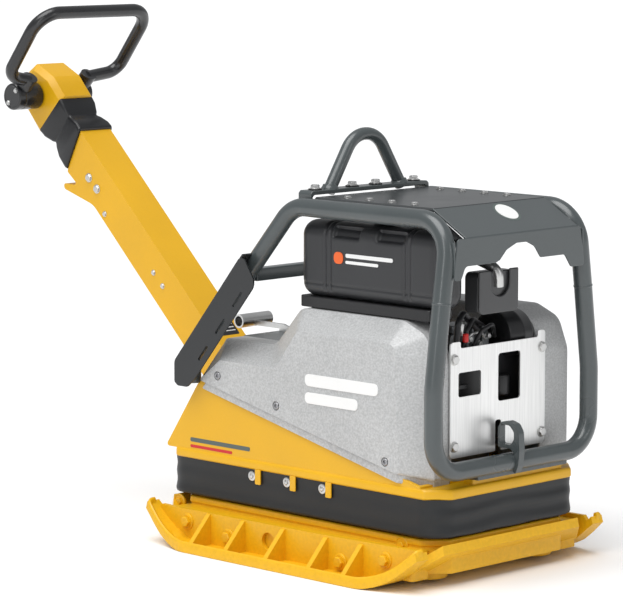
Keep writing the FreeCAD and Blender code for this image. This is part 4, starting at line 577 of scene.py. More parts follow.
@dataclass(frozen=True)
class Piece:
    """How a surface becomes an object of the scene."""

    name: str
    body: str
    finish: Finish
    replaces: tuple[str, ...] = ()
    bevel: float = 0.0
    bevel_steps: int = 3
    smooth: float = 38.0

    def make(self, surface: Surface) -> bpy.types.Object:
        """Put a surface into the scene, dressed and riding on its body.

        Args:
            surface: the shape in millimetres.

        Returns:
            The finished object, at the origin.
        """
        mesh = bpy.data.meshes.new(self.name)
        mesh.from_pydata((surface.points * MM).tolist(), [], surface.faces)
        mesh.validate()
        self.face_outwards(mesh)
        mesh.shade_smooth()
        mesh.set_sharp_from_angle(angle=math.radians(self.smooth))
        mesh.materials.append(self.finish.material())
        item = bpy.data.objects.new(self.name, mesh)
        bpy.context.scene.collection.objects.link(item)
        if self.bevel:
            self.round_edges(item)
        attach(item, self.body)
        if self.replaces:
            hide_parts(*self.replaces)
        LOG.info("%s: %d points, rides on %s", self.name, len(surface.points), self.body)
        return item

    @staticmethod
    def face_outwards(mesh: bpy.types.Mesh) -> None:
        """Turn every face of each closed shell outwards."""
        shell = bmesh.new()
        shell.from_mesh(mesh)
        bmesh.ops.remove_doubles(shell, verts=shell.verts, dist=1e-7)
        bmesh.ops.recalc_face_normals(shell, faces=shell.faces)
        shell.to_mesh(mesh)
        shell.free()

    def round_edges(self, item: bpy.types.Object) -> None:
        """Soft edges of the given width."""
        bevel = item.modifiers.new("soft_edges", "BEVEL")
        bevel.width = self.bevel * MM
        bevel.segments = self.bevel_steps
        bevel.limit_method = "ANGLE"
        bevel.angle_limit = math.radians(self.smooth)
        bevel.use_clamp_overlap = True
        bevel.harden_normals = True
        bevel.miter_outer = "MITER_ARC"


def dress_cad(names: list[str], finish: Finish) -> None:
    """Give CAD nodes that stay visible a finish."""
    for name in names:
        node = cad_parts[name]
        node.data.materials.clear()
        node.data.materials.append(finish.material())
        LOG.info("%s keeps its CAD shape with finish %s", name, finish.name)


# ---------------------------------------------------------------- base

def octagon(
    half: tuple[float, float], cut: float, inset: float = 0, middle: float = 0, radius: float = 8
) -> Array:
    """Rectangle with its corners cut off, moved in by a distance and softly rounded.

    Args:
        half: half length and half width.
        cut: how much of each side the corner takes.
        inset: how far every side moves in.
        middle: lengthwise place of the centre.
        radius: radius at each of the eight corners.

    Returns:
        (n, 2) closed outline in plan.
    """
    x, y = half[0] - inset, half[1] - inset
    c = cut - inset * (2 - math.sqrt(2))
    corners = np.array(
        [
            (-x + c, -y), (x - c, -y), (x, -y + c), (x, y - c), (x - c, y), (-x + c, y), (-x, y - c),
            (-x, -y + c),
        ]
    )
    return arc_path(corners + np.array([middle, 0]), radius, 5, closed=True)


def band(loops: list[Array], levels: list[float]) -> Surface:
    """Closed ring whose section runs through loops at their levels and back to the first."""
    return lofted(np.stack([in_plane(loop, "xy", level) for loop, level in zip(loops, levels)]), wrap=True)


@dataclass
class Ski:
    """Underside that runs flat and turns up at both ends."""

    tip: float = 442
    rise: float = 80
    bend: float = 345
    radius: float = 200

    def height(self, x: Array) -> Array:
        """Height of the underside at places along it."""
        corners = [
            (-self.tip - 10, self.rise + 8.2),
            (-self.bend, 0),
            (self.bend, 0),
            (self.tip + 10, self.rise + 8.2),
        ]
        line = arc_path(corners, self.radius, 14)
        return np.interp(x, line[:, 0], line[:, 1])

    def slab(self, stations: list[tuple[float, float]], wall: float, samples: int = 65) -> Surface:
        """Plate of even thickness over the underside.

        Args:
            stations: crosswise places, each with the half length there.
            wall: thickness, measured upright on the flat.
            samples: points along the plate.

        Returns:
            The closed plate.
        """
        share = np.sin(np.linspace(-1, 1, samples) * np.pi / 2)
        rings = []
        for y, half in stations:
            x = share * half
            low = self.height(x)
            below = np.stack([x, np.full(samples, y), low], -1)
            above = np.stack(
                [x * (1 - 0.012 * (low > 8)), np.full(samples, y), low + wall * (1 + 0.16 * (low > 8))], -1
            )
            rings.append(np.concatenate([below, above[::-1]]))
        return lofted(np.stack(rings))


@dataclass
class Base:
    """Cast base plate with its bolted extensions and the buffers' bolts."""

    ski: Ski = field(default_factory=Ski)
    core_y: float = 280
    plate_y: float = 355
    tip_y: float = 318
    straight: float = 285
    upstand: tuple[float, float] = (424, 236)
    corner: float = 50
    wall: float = 18
    ribs: tuple[float, ...] = (-250, -134, -2, 136, 246)
    bolts: tuple[tuple[float, float], ...] = ((-323, 59), (-183, 41), (182, 37), (321, 61))
    vent: tuple[float, float] = (-53, 50)
    pockets: tuple[tuple[float, float], ...] = ((-412, 87), (318, 87))

    def build(self) -> None:
        """Make the plate, both extensions and their bolts."""
        Piece("base_casting", "base", YELLOW_CAST, ("base_plate",), bevel=3.0).make(self.casting())
        for name, turn in (("right", False), ("left", True)):
            shape = self.extension()
            shape = shape.mirrored() if turn else shape
            Piece(
                f"extension_casting_{name}", "base", YELLOW_CAST, (f"extension_plate_{name}",), bevel=2.6
            ).make(shape)
        heads = self.extension_bolts()
        Piece(
            "extension_hex_bolts", "base", YELLOW_CAST, ("extension_bolts",), bevel=0.8, bevel_steps=2
        ).make(heads.plus(heads.mirrored()))
        small = self.pocket_bolts()
        Piece(
            "buffer_hex_bolts", "base", YELLOW_CAST, ("buffer_bolts",), bevel=0.6, bevel_steps=2
        ).make(small.plus(small.mirrored()))

    def casting(self) -> Surface:
        """Core plate, upstand with bolt pockets, side rails and posts."""
        tip, cut = self.ski.tip, self.corner
        stations = [
            (-self.core_y, tip - cut),
            (-self.core_y + cut, tip),
            (0, tip),
            (self.core_y - cut, tip),
            (self.core_y, tip - cut),
        ]
        plate_skin = self.ski.slab(stations, self.wall)
        insets = [0, 0, 3.5, 3.5, 0.6, 0, 1.2, 4, 14, 14]
        levels = [30, 84, 86, 90, 92.5, 96, 104.5, 107, 107, 30]
        loops = [octagon(self.upstand, cut, inset, radius=10) for inset in insets]
        wall = band(loops, levels)
        rail = block_loop((-392, 392), (222, self.core_y - 0.5), 10)
        rails = plate([rail], 20, 84, "xy")
        posts = [
            turned(softened(44, 12, 140, 3), "z", (a * 345, b * 178), 32)
            for a in (-1, 1)
            for b in (-1, 1)
        ]
        rims = [
            turned(
                np.array([(0, -236), (15, -236), (17, -237.6), (19, -236), (19, -232), (0, -232)]),
                "y",
                (x, z),
                32,
            )
            for x, z in self.pockets
        ]
        rims += [rim.mirrored() for rim in rims]
        return plate_skin.plus(wall, rails, rails.mirrored(), *posts, *rims)

    def half_length(self, y: float) -> float:
        """Half length of the extension at a crosswise place, from the tapered ends."""
        if y <= self.tip_y:
            return self.ski.tip - 1.5
        share = (self.plate_y - y) / (self.plate_y - self.tip_y)
        return self.straight + share * (self.ski.tip - 1.5 - self.straight)

    def extension(self) -> Surface:
        """Right extension: plate, rim, web with a hole, gussets and bolt bosses."""
        places = np.array([self.core_y, 300, self.tip_y, 326, 334, 342, 348, self.plate_y - 3])
        slab = self.ski.slab([(-y, self.half_length(y)) for y in places], self.wall * 0.8)
        gussets = [self.gusset(x) for x in self.ribs]
        bosses = [turned(softened(19, -294.5, -288, 1.6), "y", place, 32) for place in self.bolts]
        return slab.plus(self.rim(), self.web(), *gussets, *bosses)

    def rim(self) -> Surface:
        """Raised outer edge that follows the taper round to both tips.

        The plan line is offset by the rim's thickness across its direction; every station stands on the
        underside's height there, and the rim's top is rounded by four points.
        """
        tip = self.ski.tip - 4
        corners = [
            (-tip, -self.tip_y + 22),
            (-tip, -self.tip_y - 1),
            (-self.straight, -self.plate_y),
            (self.straight, -self.plate_y),
            (tip, -self.tip_y - 1),
            (tip, -self.tip_y + 22),
        ]
        line = arc_path(corners, [0, 16, 60, 60, 16, 0], 10)
        length = np.concatenate([[0], np.cumsum(np.linalg.norm(np.diff(line, axis=0), axis=1))])
        station = np.linspace(0, length[-1], 140)
        line = np.stack([np.interp(station, length, line[:, 0]), np.interp(station, length, line[:, 1])], -1)
        along = unit(np.gradient(line, axis=0))
        inward = np.stack([-along[:, 1], along[:, 0]], -1)
        section = np.array([(0, 1), (0, 22), (1.5, 25), (4.5, 26.5), (7.5, 25), (9, 22), (9, 1)])
        floor = self.ski.height(line[:, 0])
        rings = np.zeros((len(line), len(section), 3))
        rings[..., :2] = line[:, None] + inward[:, None] * section[None, :, :1]
        rings[..., 2] = floor[:, None] + section[None, :, 1]
        return lofted(rings)

    def web(self) -> Surface:
        """Upright web of the extension with its hole."""
        x = np.linspace(-self.ski.tip + 14, self.ski.tip - 14, 80)
        low = np.stack([x, self.ski.height(x) + 7], -1)
        top = np.array(
            [
                (self.ski.tip - 30, 95.5),
                (376, 95),
                (100, 90),
                (-100, 89),
                (-376, 87.5),
                (-self.ski.tip + 30, 89),
            ]
        )
        return plate(
            [np.concatenate([low, top]), ring_of(20, 32, self.vent)],
            -self.core_y - 11,
            -self.core_y - 0.4,
            "xz",
        )

    def gusset(self, x: float) -> Surface:
        """One gusset: its free edge runs straight from the web's top down to the rim."""
        edge = arc_path(np.array([(-288, 87), (-294, 86), (-350.5, 26), (-350.5, 20)]), [0, 5, 5, 0], 4)
        foot = np.array([(-350.5, 10), (-288, 10)])
        return plate([np.concatenate([edge, foot])], x - 6.5, x + 6.5, "yz")

    def extension_bolts(self) -> Surface:
        """Hex heads on the bosses of the right extension."""
        first, *rest = [hex_head("y", place, -294.4, -304.5, 11.5) for place in self.bolts]
        return first.plus(*rest)

    def pocket_bolts(self) -> Surface:
        """Small hex heads in the upstand's pockets, right side."""
        first, second = [hex_head("y", place, -236.2, -241.5, 7.5) for place in self.pockets]
        return first.plus(second)


# ---------------------------------------------------------------- chassis and skirt

@dataclass
class Chassis:
    """Sprung deck: rim, wedge walls, ledge and the rubber skirt under it."""

    half: tuple[float, float] = (447.5, 248)
    middle: float = -7.5
    corner: float = 46
    low: float = 200
    top: float = 223
    side: float = 244
    wedge: tuple[tuple[float, float], ...] = (
        (-449, 220), (-337, 381), (-324, 389.5), (381, 227.5), (381, 220)
    )
    skirt_bolts: tuple[float, ...] = (-151, -36, 79)

    def build(self) -> None:
        """Make the deck, the skirt and its bolts."""
        Piece("deck_shell", "chassis", YELLOW, ("chassis",), bevel=3.0).make(self.deck())
        Piece("rubber_skirt", "chassis", RUBBER, ("skirt",), smooth=50).make(self.skirt())
        bolts = self.bolts()
        Piece("skirt_washer_bolts", "chassis", ZINC, ("skirt_bolts",)).make(bolts.plus(bolts.mirrored()))
        tabs = self.tabs()
        Piece("skirt_tabs", "chassis", YELLOW, bevel=1.2, bevel_steps=2).make(tabs.plus(tabs.mirrored()))

    def deck(self) -> Surface:
        """Rim band, deck plate with the belt's slot, wedge walls and the front ledge."""
        insets = [3, 0, 0, 1, 3.4, 6, 14, 14]
        levels = [self.low, 203, 214, 219, 222, self.top, self.top, self.low]
        rim = band([octagon(self.half, self.corner, inset, self.middle, 14) for inset in insets], levels)
        slot = block_loop((-122, 246), (163, 211), 8)
        floor = plate([octagon(self.half, self.corner, 8, self.middle, 14), slot], 211, self.top - 0.6, "xy")
        outline = arc_path(np.array(self.wedge), [6, 22, 10, 6, 3], 6, closed=True)
        wall = plate([outline], -self.side, -self.side + 8, "xz")
        rear = np.array([(-448, 221), (-336, 381), (-325, 388), (-318, 380), (-434, 221)])
        slope = plate([rear], -self.side + 4, self.side - 4, "xz")
        front = plate(
            [np.array([(372, 220), (380.5, 220), (380.5, 227), (372, 229)])],
            -self.side + 4,
            self.side - 4,
            "xz",
        )
        ledge = plate([block_loop((400, 430), (-123, 181), 4)], 221, 234, "xy")
        return rim.plus(floor, wall, wall.mirrored(), slope, front, ledge)

    def skirt(self) -> Surface:
        """Rubber band with a rolled lower edge and shallow waves at the ends.

        Outward shift = wave * share of the end * sine of height and of the way round, largest at half height.
        """
        outline = block_loop((-448, 434), (-246, 246), 60, 14)
        outline = self.evenly(outline, 320)
        outward = self.outward(outline)
        ends = np.clip(
            (np.abs(outline[:, 0] + 7) - 330) / 90, 0, 1
        ) * np.clip((246 - np.abs(outline[:, 1])) / 50, 0.25, 1)
        levels = np.array([113, 114, 117, 122, 130, 138, 146, 154, 162, 170, 178, 186, 194, 200.0])
        roll = np.array([-3.5, -1.2, 0, 0, -1.6, -2.2, -2.0, -1.8, -1.8, -2.2, -2.6, -2.2, -1.4, -1.0])
        phase = outline[:, 1] / 46 + outline[:, 0] / 90
        wave = 2.3 * ends * (
            np.sin(
                levels[:, None] / 6.2 + 0.7 * np.sin(phase)[None]
            ) * np.sin((levels[:, None] - 113) / 87 * np.pi)
        )
        outer = np.zeros((len(levels), len(outline), 3))
        outer[..., :2] = outline + outward * (roll[:, None] + wave - 0.4)[..., None]
        outer[..., 2] = levels[:, None] + 0.8 * ends * np.sin(phase * 2.1) * (levels[:, None] < 125)
        inner = outer[::-1].copy()
        inner[..., :2] -= outward[None] * 6
        return lofted(np.concatenate([outer, inner]), wrap=True)

    @staticmethod
    def evenly(outline: Array, count: int) -> Array:
        """A closed outline resampled at equal distances."""
        loop = np.concatenate([outline, outline[:1]])
        length = np.concatenate([[0], np.cumsum(np.linalg.norm(np.diff(loop, axis=0), axis=1))])
        station = np.linspace(0, length[-1], count, endpoint=False)
        return np.stack([np.interp(station, length, loop[:, axis]) for axis in (0, 1)], -1)

    @staticmethod
    def outward(outline: Array) -> Array:
        """Direction out of a closed outline that runs counter-clockwise."""
        along = unit(np.roll(outline, -1, axis=0) - np.roll(outline, 1, axis=0))
        return np.stack([along[:, 1], -along[:, 0]], -1)

    def bolts(self) -> Surface:
        """Washer and round-headed bolt at each place of the right side."""
        profile = np.array(
            [
                (0, -244), (11.5, -244), (11.5, -247.4), (10.2, -248), (6.8, -248), (6.2, -247), (5.2, -247),
                (5.0, -250.2), (3.6, -251.2), (0, -251.4),
            ]
        )
        first, *rest = [turned(profile, "y", (x, 184), 28) for x in self.skirt_bolts]
        return first.plus(*rest)

    def tabs(self) -> Surface:
        """Tabs that hang from the rim beside each bolt of the right side."""
        first, *rest = [
            plate([block_loop((x + 12, x + 30), (166, 202), 3)], -249.5, -245.5, "xz")
            for x in self.skirt_bolts
        ]
        return first.plus(*rest)


# ---------------------------------------------------------------- hoods and panel

@dataclass
class Hood:
    """Cast side hood: flat side with sunk screws, bevel, stepped top and a hollow inside."""

    side_y: float = 255
    bevel_y: float = 205
    inner_y: float = 150
    wall: float = 5
    screws: tuple[tuple[float, float], ...] = ((-258, 409), (-63, 360), (283, 273))
    side: tuple[tuple[float, float], ...] = (
        (-320, 393), (327, 248), (312, 520), (309, 534), (297, 540), (5, 540), (-64, 447), (-250, 447)
    )
    crown: tuple[tuple[float, float], ...] = (
        (-320, 393), (388, 232), (388, 495), (362, 560), (296, 587), (-27, 587), (-112, 492), (-280, 492)
    )
    side_radii: tuple[float, ...] = (4, 8, 12, 6, 12, 24, 40, 10)
    crown_radii: tuple[float, ...] = (4, 8, 50, 44, 50, 36, 44, 14)

    def build(self) -> None:
        """Make both hoods with their screws."""
        screws = self.screw_heads()
        for name, shape in (("right", self.shell()), ("left", self.shell(square=True).mirrored())):
            Piece(
                f"hood_casting_{name}",
                "chassis",
                SILVER,
                (f"hood_{name}",),
                bevel=4.5,
                bevel_steps=4,
                smooth=36,
            ).make(shape)
        Piece(
            "hood_socket_screws", "chassis", STEEL, ("hood_bolts",), smooth=30
        ).make(screws.plus(screws.mirrored()))

    def ring(self, corners: tuple, radii: tuple, inset: float, drop: float = 0) -> Array:
        """One outline of the hood moved in by a distance, its lower edge let down by another."""
        points = np.array(corners, float)
        middle = points.mean(0)
        shift = np.sign(points - middle) * inset
        shift[:2] = [(-inset, drop), (inset, drop)]
        return arc_path(points - shift, np.maximum(np.array(radii) - inset * 0.4, 2), 6, closed=True)

    def shell(self, square: bool = False) -> Surface:
        """Casting of one hood, as the right one.

        Args:
            square: carry the outline out to the side face with a soft edge, in place of the wide bevel.

        Returns:
            The closed casting.
        """
        crown = (self.crown, self.crown_radii)
        side = (self.side, self.side_radii)
        places = [(*side, self.side_y, 0), (*crown, self.bevel_y, 0), (*crown, self.inner_y, 0)]
        if square:
            places = [(*crown, self.side_y - back, inset) for back, inset in ((0, 13), (3.5, 5), (11, 0))]
            places.append((*crown, self.inner_y, 0))
        outer = [in_plane(self.ring(shape, radii, inset), "xz", -y) for shape, radii, y, inset in places]
        face = self.ring(*places[0][:2], places[0][3])
        wall = self.wall
        backs = [
            (*crown, self.inner_y, wall),
            (*crown, self.bevel_y - wall, wall),
            (*side, self.side_y - wall, wall),
        ]
        if square:
            backs = [(*crown, self.inner_y, wall), (*crown, self.side_y - wall * 3, wall)]
        inner = [
            in_plane(self.ring(shape, radii, inset, inset * 4), "xz", -y)
            for shape, radii, y, inset in backs
        ]
        skin = lofted(np.stack(outer + inner))
        size = len(outer[0])
        walls = [face for face in skin.faces if len(face) == 4] + [skin.faces[-1]]
        front = self.pitted_face(face, size)
        return Surface(skin.points, walls).plus(front)

    def pitted_face(self, loop: Array, size: int) -> Surface:
        """Flat side face with a round pit for every screw: the face, the pit walls and the pit floors."""
        pits = [ring_of(11, 28, place) for place in self.screws]
        flat = np.concatenate([loop, *pits])
        caps = [
            list(face)
            for face in tessellate_polygon(
                [[Vector((*point, 0)) for point in ring] for ring in [loop, *pits]]
            )
        ]
        total = len(flat)
        faces = caps
        start = size
        for pit in pits:
            here = np.arange(len(pit))
            there = (here + 1) % len(pit)
            faces += (np.stack([here, there, there + total - size, here + total - size], -1) + start).tolist()
            faces.append((here + start + total - size).tolist())
            start += len(pit)
        deep = in_plane(np.concatenate(pits), "xz", -self.side_y + 3.6)
        return Surface(np.concatenate([in_plane(flat, "xz", -self.side_y), deep]), faces)

    def screw_heads(self) -> Surface:
        """Round heads with a socket in the pits of the right hood."""
        low = -self.side_y + 4.4
        profile = np.array(
            [(0, low), (8.2, low), (8.2, -254.6), (7.4, -255.4), (4.6, -255.4), (4.4, -252.6), (0, -252.4)]
        )
        first, *rest = [turned(profile, "y", place, 24) for place in self.screws]
        return first.plus(*rest)


@dataclass
class Front:
    """Stainless panel with its bolts, front lug and tow eye."""

    x: float = 390
    wall: float = 4
    bolts: tuple[tuple[float, float], ...] = ((-148, 307), (-148, 503), (148, 307), (148, 503))

    def build(self) -> None:
        """Make the panel, its bolts, the lug and the tow eye."""
        Piece(
            "stainless_panel", "chassis", STAINLESS, ("front_panel",), bevel=0.9, bevel_steps=2
        ).make(self.panel())
        first, *rest = [hex_head("x", place, 394.1, 401.5, 9.5) for place in self.bolts]
        Piece(
            "panel_hex_bolts", "chassis", ZINC, ("front_panel_bolts",), bevel=0.7, bevel_steps=2
        ).make(first.plus(*rest))
        Piece("tow_ring", "chassis", FRAME_GREY, ("tow_eye",), bevel=2.6).make(self.tow_ring())
        Piece("foot_plate", "chassis", FRAME_GREY, ("front_lug",), bevel=2.0).make(self.lug())

    def panel(self) -> Surface:
        """Plate with its two windows, the slot from below and the shallow notch on top."""
        corners = np.array(
            [
                (-160, 281), (-10, 281), (-10, 352), (10, 352), (10, 281), (160, 281), (160, 542),
                (134, 542), (134, 527), (-127, 527), (-127, 542), (-160, 542),
            ]
        )
        outline = arc_path(corners, [10, 3, 6, 6, 3, 10, 8, 4, 5, 5, 4, 8], 5, closed=True)
        window = block_loop((-1, 74), (394, 503), 8)
        small = block_loop((-134, -59), (417, 472), 6)
        return plate([outline, window, small], self.x, self.x + self.wall, "yz")

    def tow_ring(self) -> Surface:
        """Upright plate with a D-shaped hole that runs down over the bottom bar's front."""
        corners = np.array([
            (404, 292), (404, 338), (414, 351), (434, 355), (455, 349), (466, 332), (469, 288), (465, 256),
            (457, 236),
            (449, 242), (453, 262), (452, 284), (440, 292),
        ])
        outline = arc_path(corners, [5, 12, 12, 16, 14, 20, 30, 14, 4, 5, 10, 8, 6], 5, closed=True)
        hole = arc_path(
            np.array([(410, 301), (410, 345), (438, 345), (451.5, 331), (451.5, 314), (442, 301)]),
            [5, 6, 11, 9, 9, 9],
            5,
            closed=True,
        )
        return plate([outline, hole], -12, 6, "xz")

    def lug(self) -> Surface:
        """Foot plate under the bottom bar."""
        return plate(
            [np.array([(414, 234), (445, 234), (445, 246), (438, 252), (420, 252), (414, 246)])],
            -123,
            181,
            "xz",
        )


# ---------------------------------------------------------------- tube frame and sheet metal

@dataclass
class TubeFrame:
    """Welded tubes round the engine, with the rear guards and the cross brace."""

    radius: float = 21.2
    hoop_x: float = 438

    def build(self) -> None:
        """Make the hoop, the side tubes, the guards and the brace."""
        Piece("hoop_tube", "chassis", FRAME_GREY, ("front_hoop",)).make(self.hoop())
        side = self.side_tube()
        for name, turn in (("right", False), ("left", True)):
            Piece(
                f"bent_tube_{name}", "chassis", FRAME_GREY, (f"side_tube_{name}",)
            ).make(side.mirrored() if turn else side)
        guard = self.guard()
        # The leg guards wear the frame paint darkened as painted shade.
        Piece(
            "leg_guards", "chassis", GUARD_SHADE_GREY, ("rear_guards",), bevel=1.6, bevel_steps=3
        ).make(guard.plus(guard.mirrored()))
        Piece("brace_bar", "chassis", FRAME_GREY, ("cross_brace",), bevel=3.0).make(
            plate([block_loop((-201, -171), (635, 665), 4)], -208, 208, "xz")
        )

    def hoop(self) -> Surface:
        """Bottom bar and two uprights, with a weld bead at each upper end."""
        half = [(self.hoop_x, -239, 640), (self.hoop_x, -263, 450), (self.hoop_x, -263, 262)]
        corners = np.array(half + [(x, -y, z) for x, y, z in reversed(half)])
        tube = carried(arc_path(corners, [0, 234, 78, 78, 234, 0], 14), ring_of(self.radius, 36), (1, 0, 0))
        bead = self.bead((self.hoop_x, -239, 640), (0.0, 0.125, 1.0))
        return tube.plus(bead, bead.mirrored())

    def side_tube(self) -> Surface:
        """Right upper tube: front corner, top run and rear leg."""
        corners = np.array(
            [(438, -239, 640), (438, -214, 820), (-47, -214, 820), (-350, -249, 446), (-350, -249, 384)],
            float,
        )
        return carried(arc_path(corners, [0, 82, 82, 49, 0], 14), ring_of(self.radius, 36), (0.04, -1, 0.06))

    def bead(self, centre: tuple[float, float, float], along: tuple[float, float, float]) -> Surface:
        """Weld bead round a tube: a thin ring with slight scallops."""
        along_u = unit(np.array(along))
        across = unit(np.cross(along_u, [1, 0, 0]))
        third = np.cross(along_u, across)
        turn = np.linspace(0, 2 * np.pi, 72, endpoint=False)
        tube = np.linspace(0, 2 * np.pi, 8, endpoint=False)
        spoke = np.cos(turn)[:, None] * across + np.sin(turn)[:, None] * third
        thick = 2.0 + 0.35 * np.sin(turn * 24)
        reach = self.radius + thick[:, None] * 0.5 * np.cos(tube)[None]
        rise = thick[:, None] * 1.3 * np.sin(tube)[None]
        rings = np.asarray(centre) + spoke[:, None] * reach[..., None] + along_u * rise[..., None]
        return lofted(rings, wrap=True)

    def guard(self) -> Surface:
        """Right guard: outer sheet with slots, and the flange on its rear edge."""
        outline = np.array(
            [(-154, 706), (-384, 435), (-384, 384), (-372, 376), (-340, 376), (-316, 396), (-108, 641)]
        )
        loop = arc_path(outline, [14, 20, 8, 8, 12, 30, 26], 6, closed=True)
        slots = [self.slot_at(share) for share in (0.22, 0.5, 0.78)]
        sheet = plate([loop, *slots], -276, -272, "xz")
        rear = np.array([(-154, 706), (-384, 435), (-384, 386)])
        line = arc_path(rear, [0, 20, 0], 6)
        inner = arc_path(rear + np.array([(3.2, -3), (4, -1.5), (4, 0)]), [0, 18, 0], 6)
        flange = plate([np.concatenate([line, inner[::-1]])], -274, -228, "xz")
        return sheet.plus(flange)

    @staticmethod
    def slot_at(share: float) -> Array:
        """Long slot beside the guard's inner edge, at a share of its length."""
        start, end = np.array([-316, 396]), np.array([-108, 641])
        along = unit(end - start)
        across = np.array([-along[1], along[0]])
        centre = start + (end - start) * share + across * 19
        loop = block_loop((-24, 24), (-3.4, 3.4), 3.3, 5)
        return centre + loop[:, :1] * along + loop[:, 1:] * across


@dataclass
class TopSheets:
    """Top cover, visor, lifting bracket, lifting eye and their bolts."""

    wall: float = 4
    visor_x: float = 460
    front: float = 361
    fold: float = 783

    def build(self) -> None:
        """Make the sheets, their seals, the eye and the bolts."""
        Piece("cover_sheet", "chassis", COVER_GREY, ("top_cover",), bevel=1.4).make(self.cover())
        Piece("visor_sheet", "chassis", FRAME_GREY, ("visor",), bevel=1.8).make(self.visor())
        Piece("cover_seal", "chassis", RUBBER).make(self.seal())
        Piece("bracket_bar", "chassis", FRAME_GREY, ("lifting_bracket",), bevel=2.2).make(self.bracket())
        Piece("eye_bar", "chassis", FRAME_GREY, ("lifting_eye",)).make(self.eye())
        Piece("top_hex_bolts", "chassis", ZINC, ("top_bolts",), bevel=0.7, bevel_steps=2).make(self.bolts())
        Piece("bracket_washers", "chassis", BLACK_GLOSS).make(self.washers())

    def cover(self) -> Surface:
        """Flat sheet with a turned-down edge each side."""
        section = np.array(
            [
                (-188, 829), (-188, 838), (-184, 842), (184, 842), (188, 838), (188, 829), (184.5, 829),
                (184.5, 837), (183, 838), (-183, 838), (-184.5, 837), (-184.5, 829),
            ]
        )
        return plate([section], -4, self.front + 4, "yz")

    def visor(self) -> Surface:
        """Sloping sheet, fold and front face with the stepped arch."""
        front, fold = self.front, self.fold
        slope = np.array([
            (front - 2, 838), (455, fold - 0.5), (461, fold - 6), (464, fold - 3.5), (462, fold + 1.5),
            (457.5, fold + 4),
            (front + 1, 842),
        ])
        sheet = plate([slope], -188, 188, "xz")
        corners = np.array([
            (-226, 691), (-203, 691), (-189, 721), (-91, 721), (-76, 726), (-54, 747), (-21, 760), (13, 760),
            (40, 748),
            (61, 721), (144, 721), (166, 691), (212, 691), (210, 712), (197, fold), (-216, fold), (-225, 712),
        ])
        radii = [6, 10, 14, 10, 8, 18, 22, 22, 18, 8, 12, 10, 6, 18, 10, 10, 18]
        face = plate([arc_path(corners, radii, 5, closed=True)], self.visor_x, self.visor_x + self.wall, "yz")
        near = plate([block_loop((452, 463), (-225, -221.5), 1.5)], 698, 776, "xy")
        far = plate([block_loop((452, 463), (206, 209.5), 1.5)], 698, 776, "xy")
        return sheet.plus(face, near, far)

    def seal(self) -> Surface:
        """Rubber strips that close the gap between the sheets and the side tubes."""
        line = np.array(
            [
                (-2, 834), (self.front - 4, 834), (446, self.fold - 2), (446, self.fold - 6),
                (self.front - 6, 829), (-2, 829),
            ]
        )
        strip = plate([line], -208, -180, "xz")
        return strip.plus(strip.mirrored())

    def bracket(self) -> Surface:
        """Bar across the frame with ends turned down on the tubes."""
        section = np.array(
            [
                (-199, 836), (-199, 850), (-193, 856), (191, 856), (197, 850), (197, 836), (190, 836),
                (190, 842), (184, 846), (-186, 846), (-192, 842), (-192, 836),
            ]
        )
        return plate([section], -46, -4, "yz")

    def eye(self) -> Surface:
        """Bent round bar with a weld round each foot."""
        corners = np.array([(-25, -121, 848), (-25, -39, 976), (-25, 39, 976), (-25, 121, 848)], float)
        bar = carried(arc_path(corners, [0, 69, 69, 0], 18), ring_of(15, 32), (1, 0, 0))
        weld = turned(
            np.array([(0, 855), (21, 855), (20.4, 858), (17.5, 861.5), (15.6, 866), (0, 866)]),
            "z",
            (-25, -117),
            40,
        )
        gusset = plate(
            [np.array([(-142, 855), (-100, 855), (-104, 862), (-108, 874), (-113, 880), (-129, 866)])],
            -28,
            -22,
            "yz",
        )
        return bar.plus(weld, weld.mirrored(), gusset, gusset.mirrored())

    def bolts(self) -> Surface:
        """Bolts of the bracket and of the cover."""
        large = [hex_head("z", (-25, y), 858.4, 868, 9.4) for y in (-165, -43, 35, 165)]
        small = [
            hex_head("z", (70 + step * 69.3, side * 155), 842.1, 848, 7.2)
            for step in range(4)
            for side in (-1, 1)
        ]
        first, *rest = large + small
        return first.plus(*rest)

    def washers(self) -> Surface:
        """Dark washers under the bracket's bolts."""
        first, *rest = [
            turned(softened(16, 855.8, 858.6, 0.8), "z", (-25, y), 32)
            for y in (-165, -43, 35, 165)
        ]
        return first.plus(*rest)


# ---------------------------------------------------------------- tank, silencer and rear deck

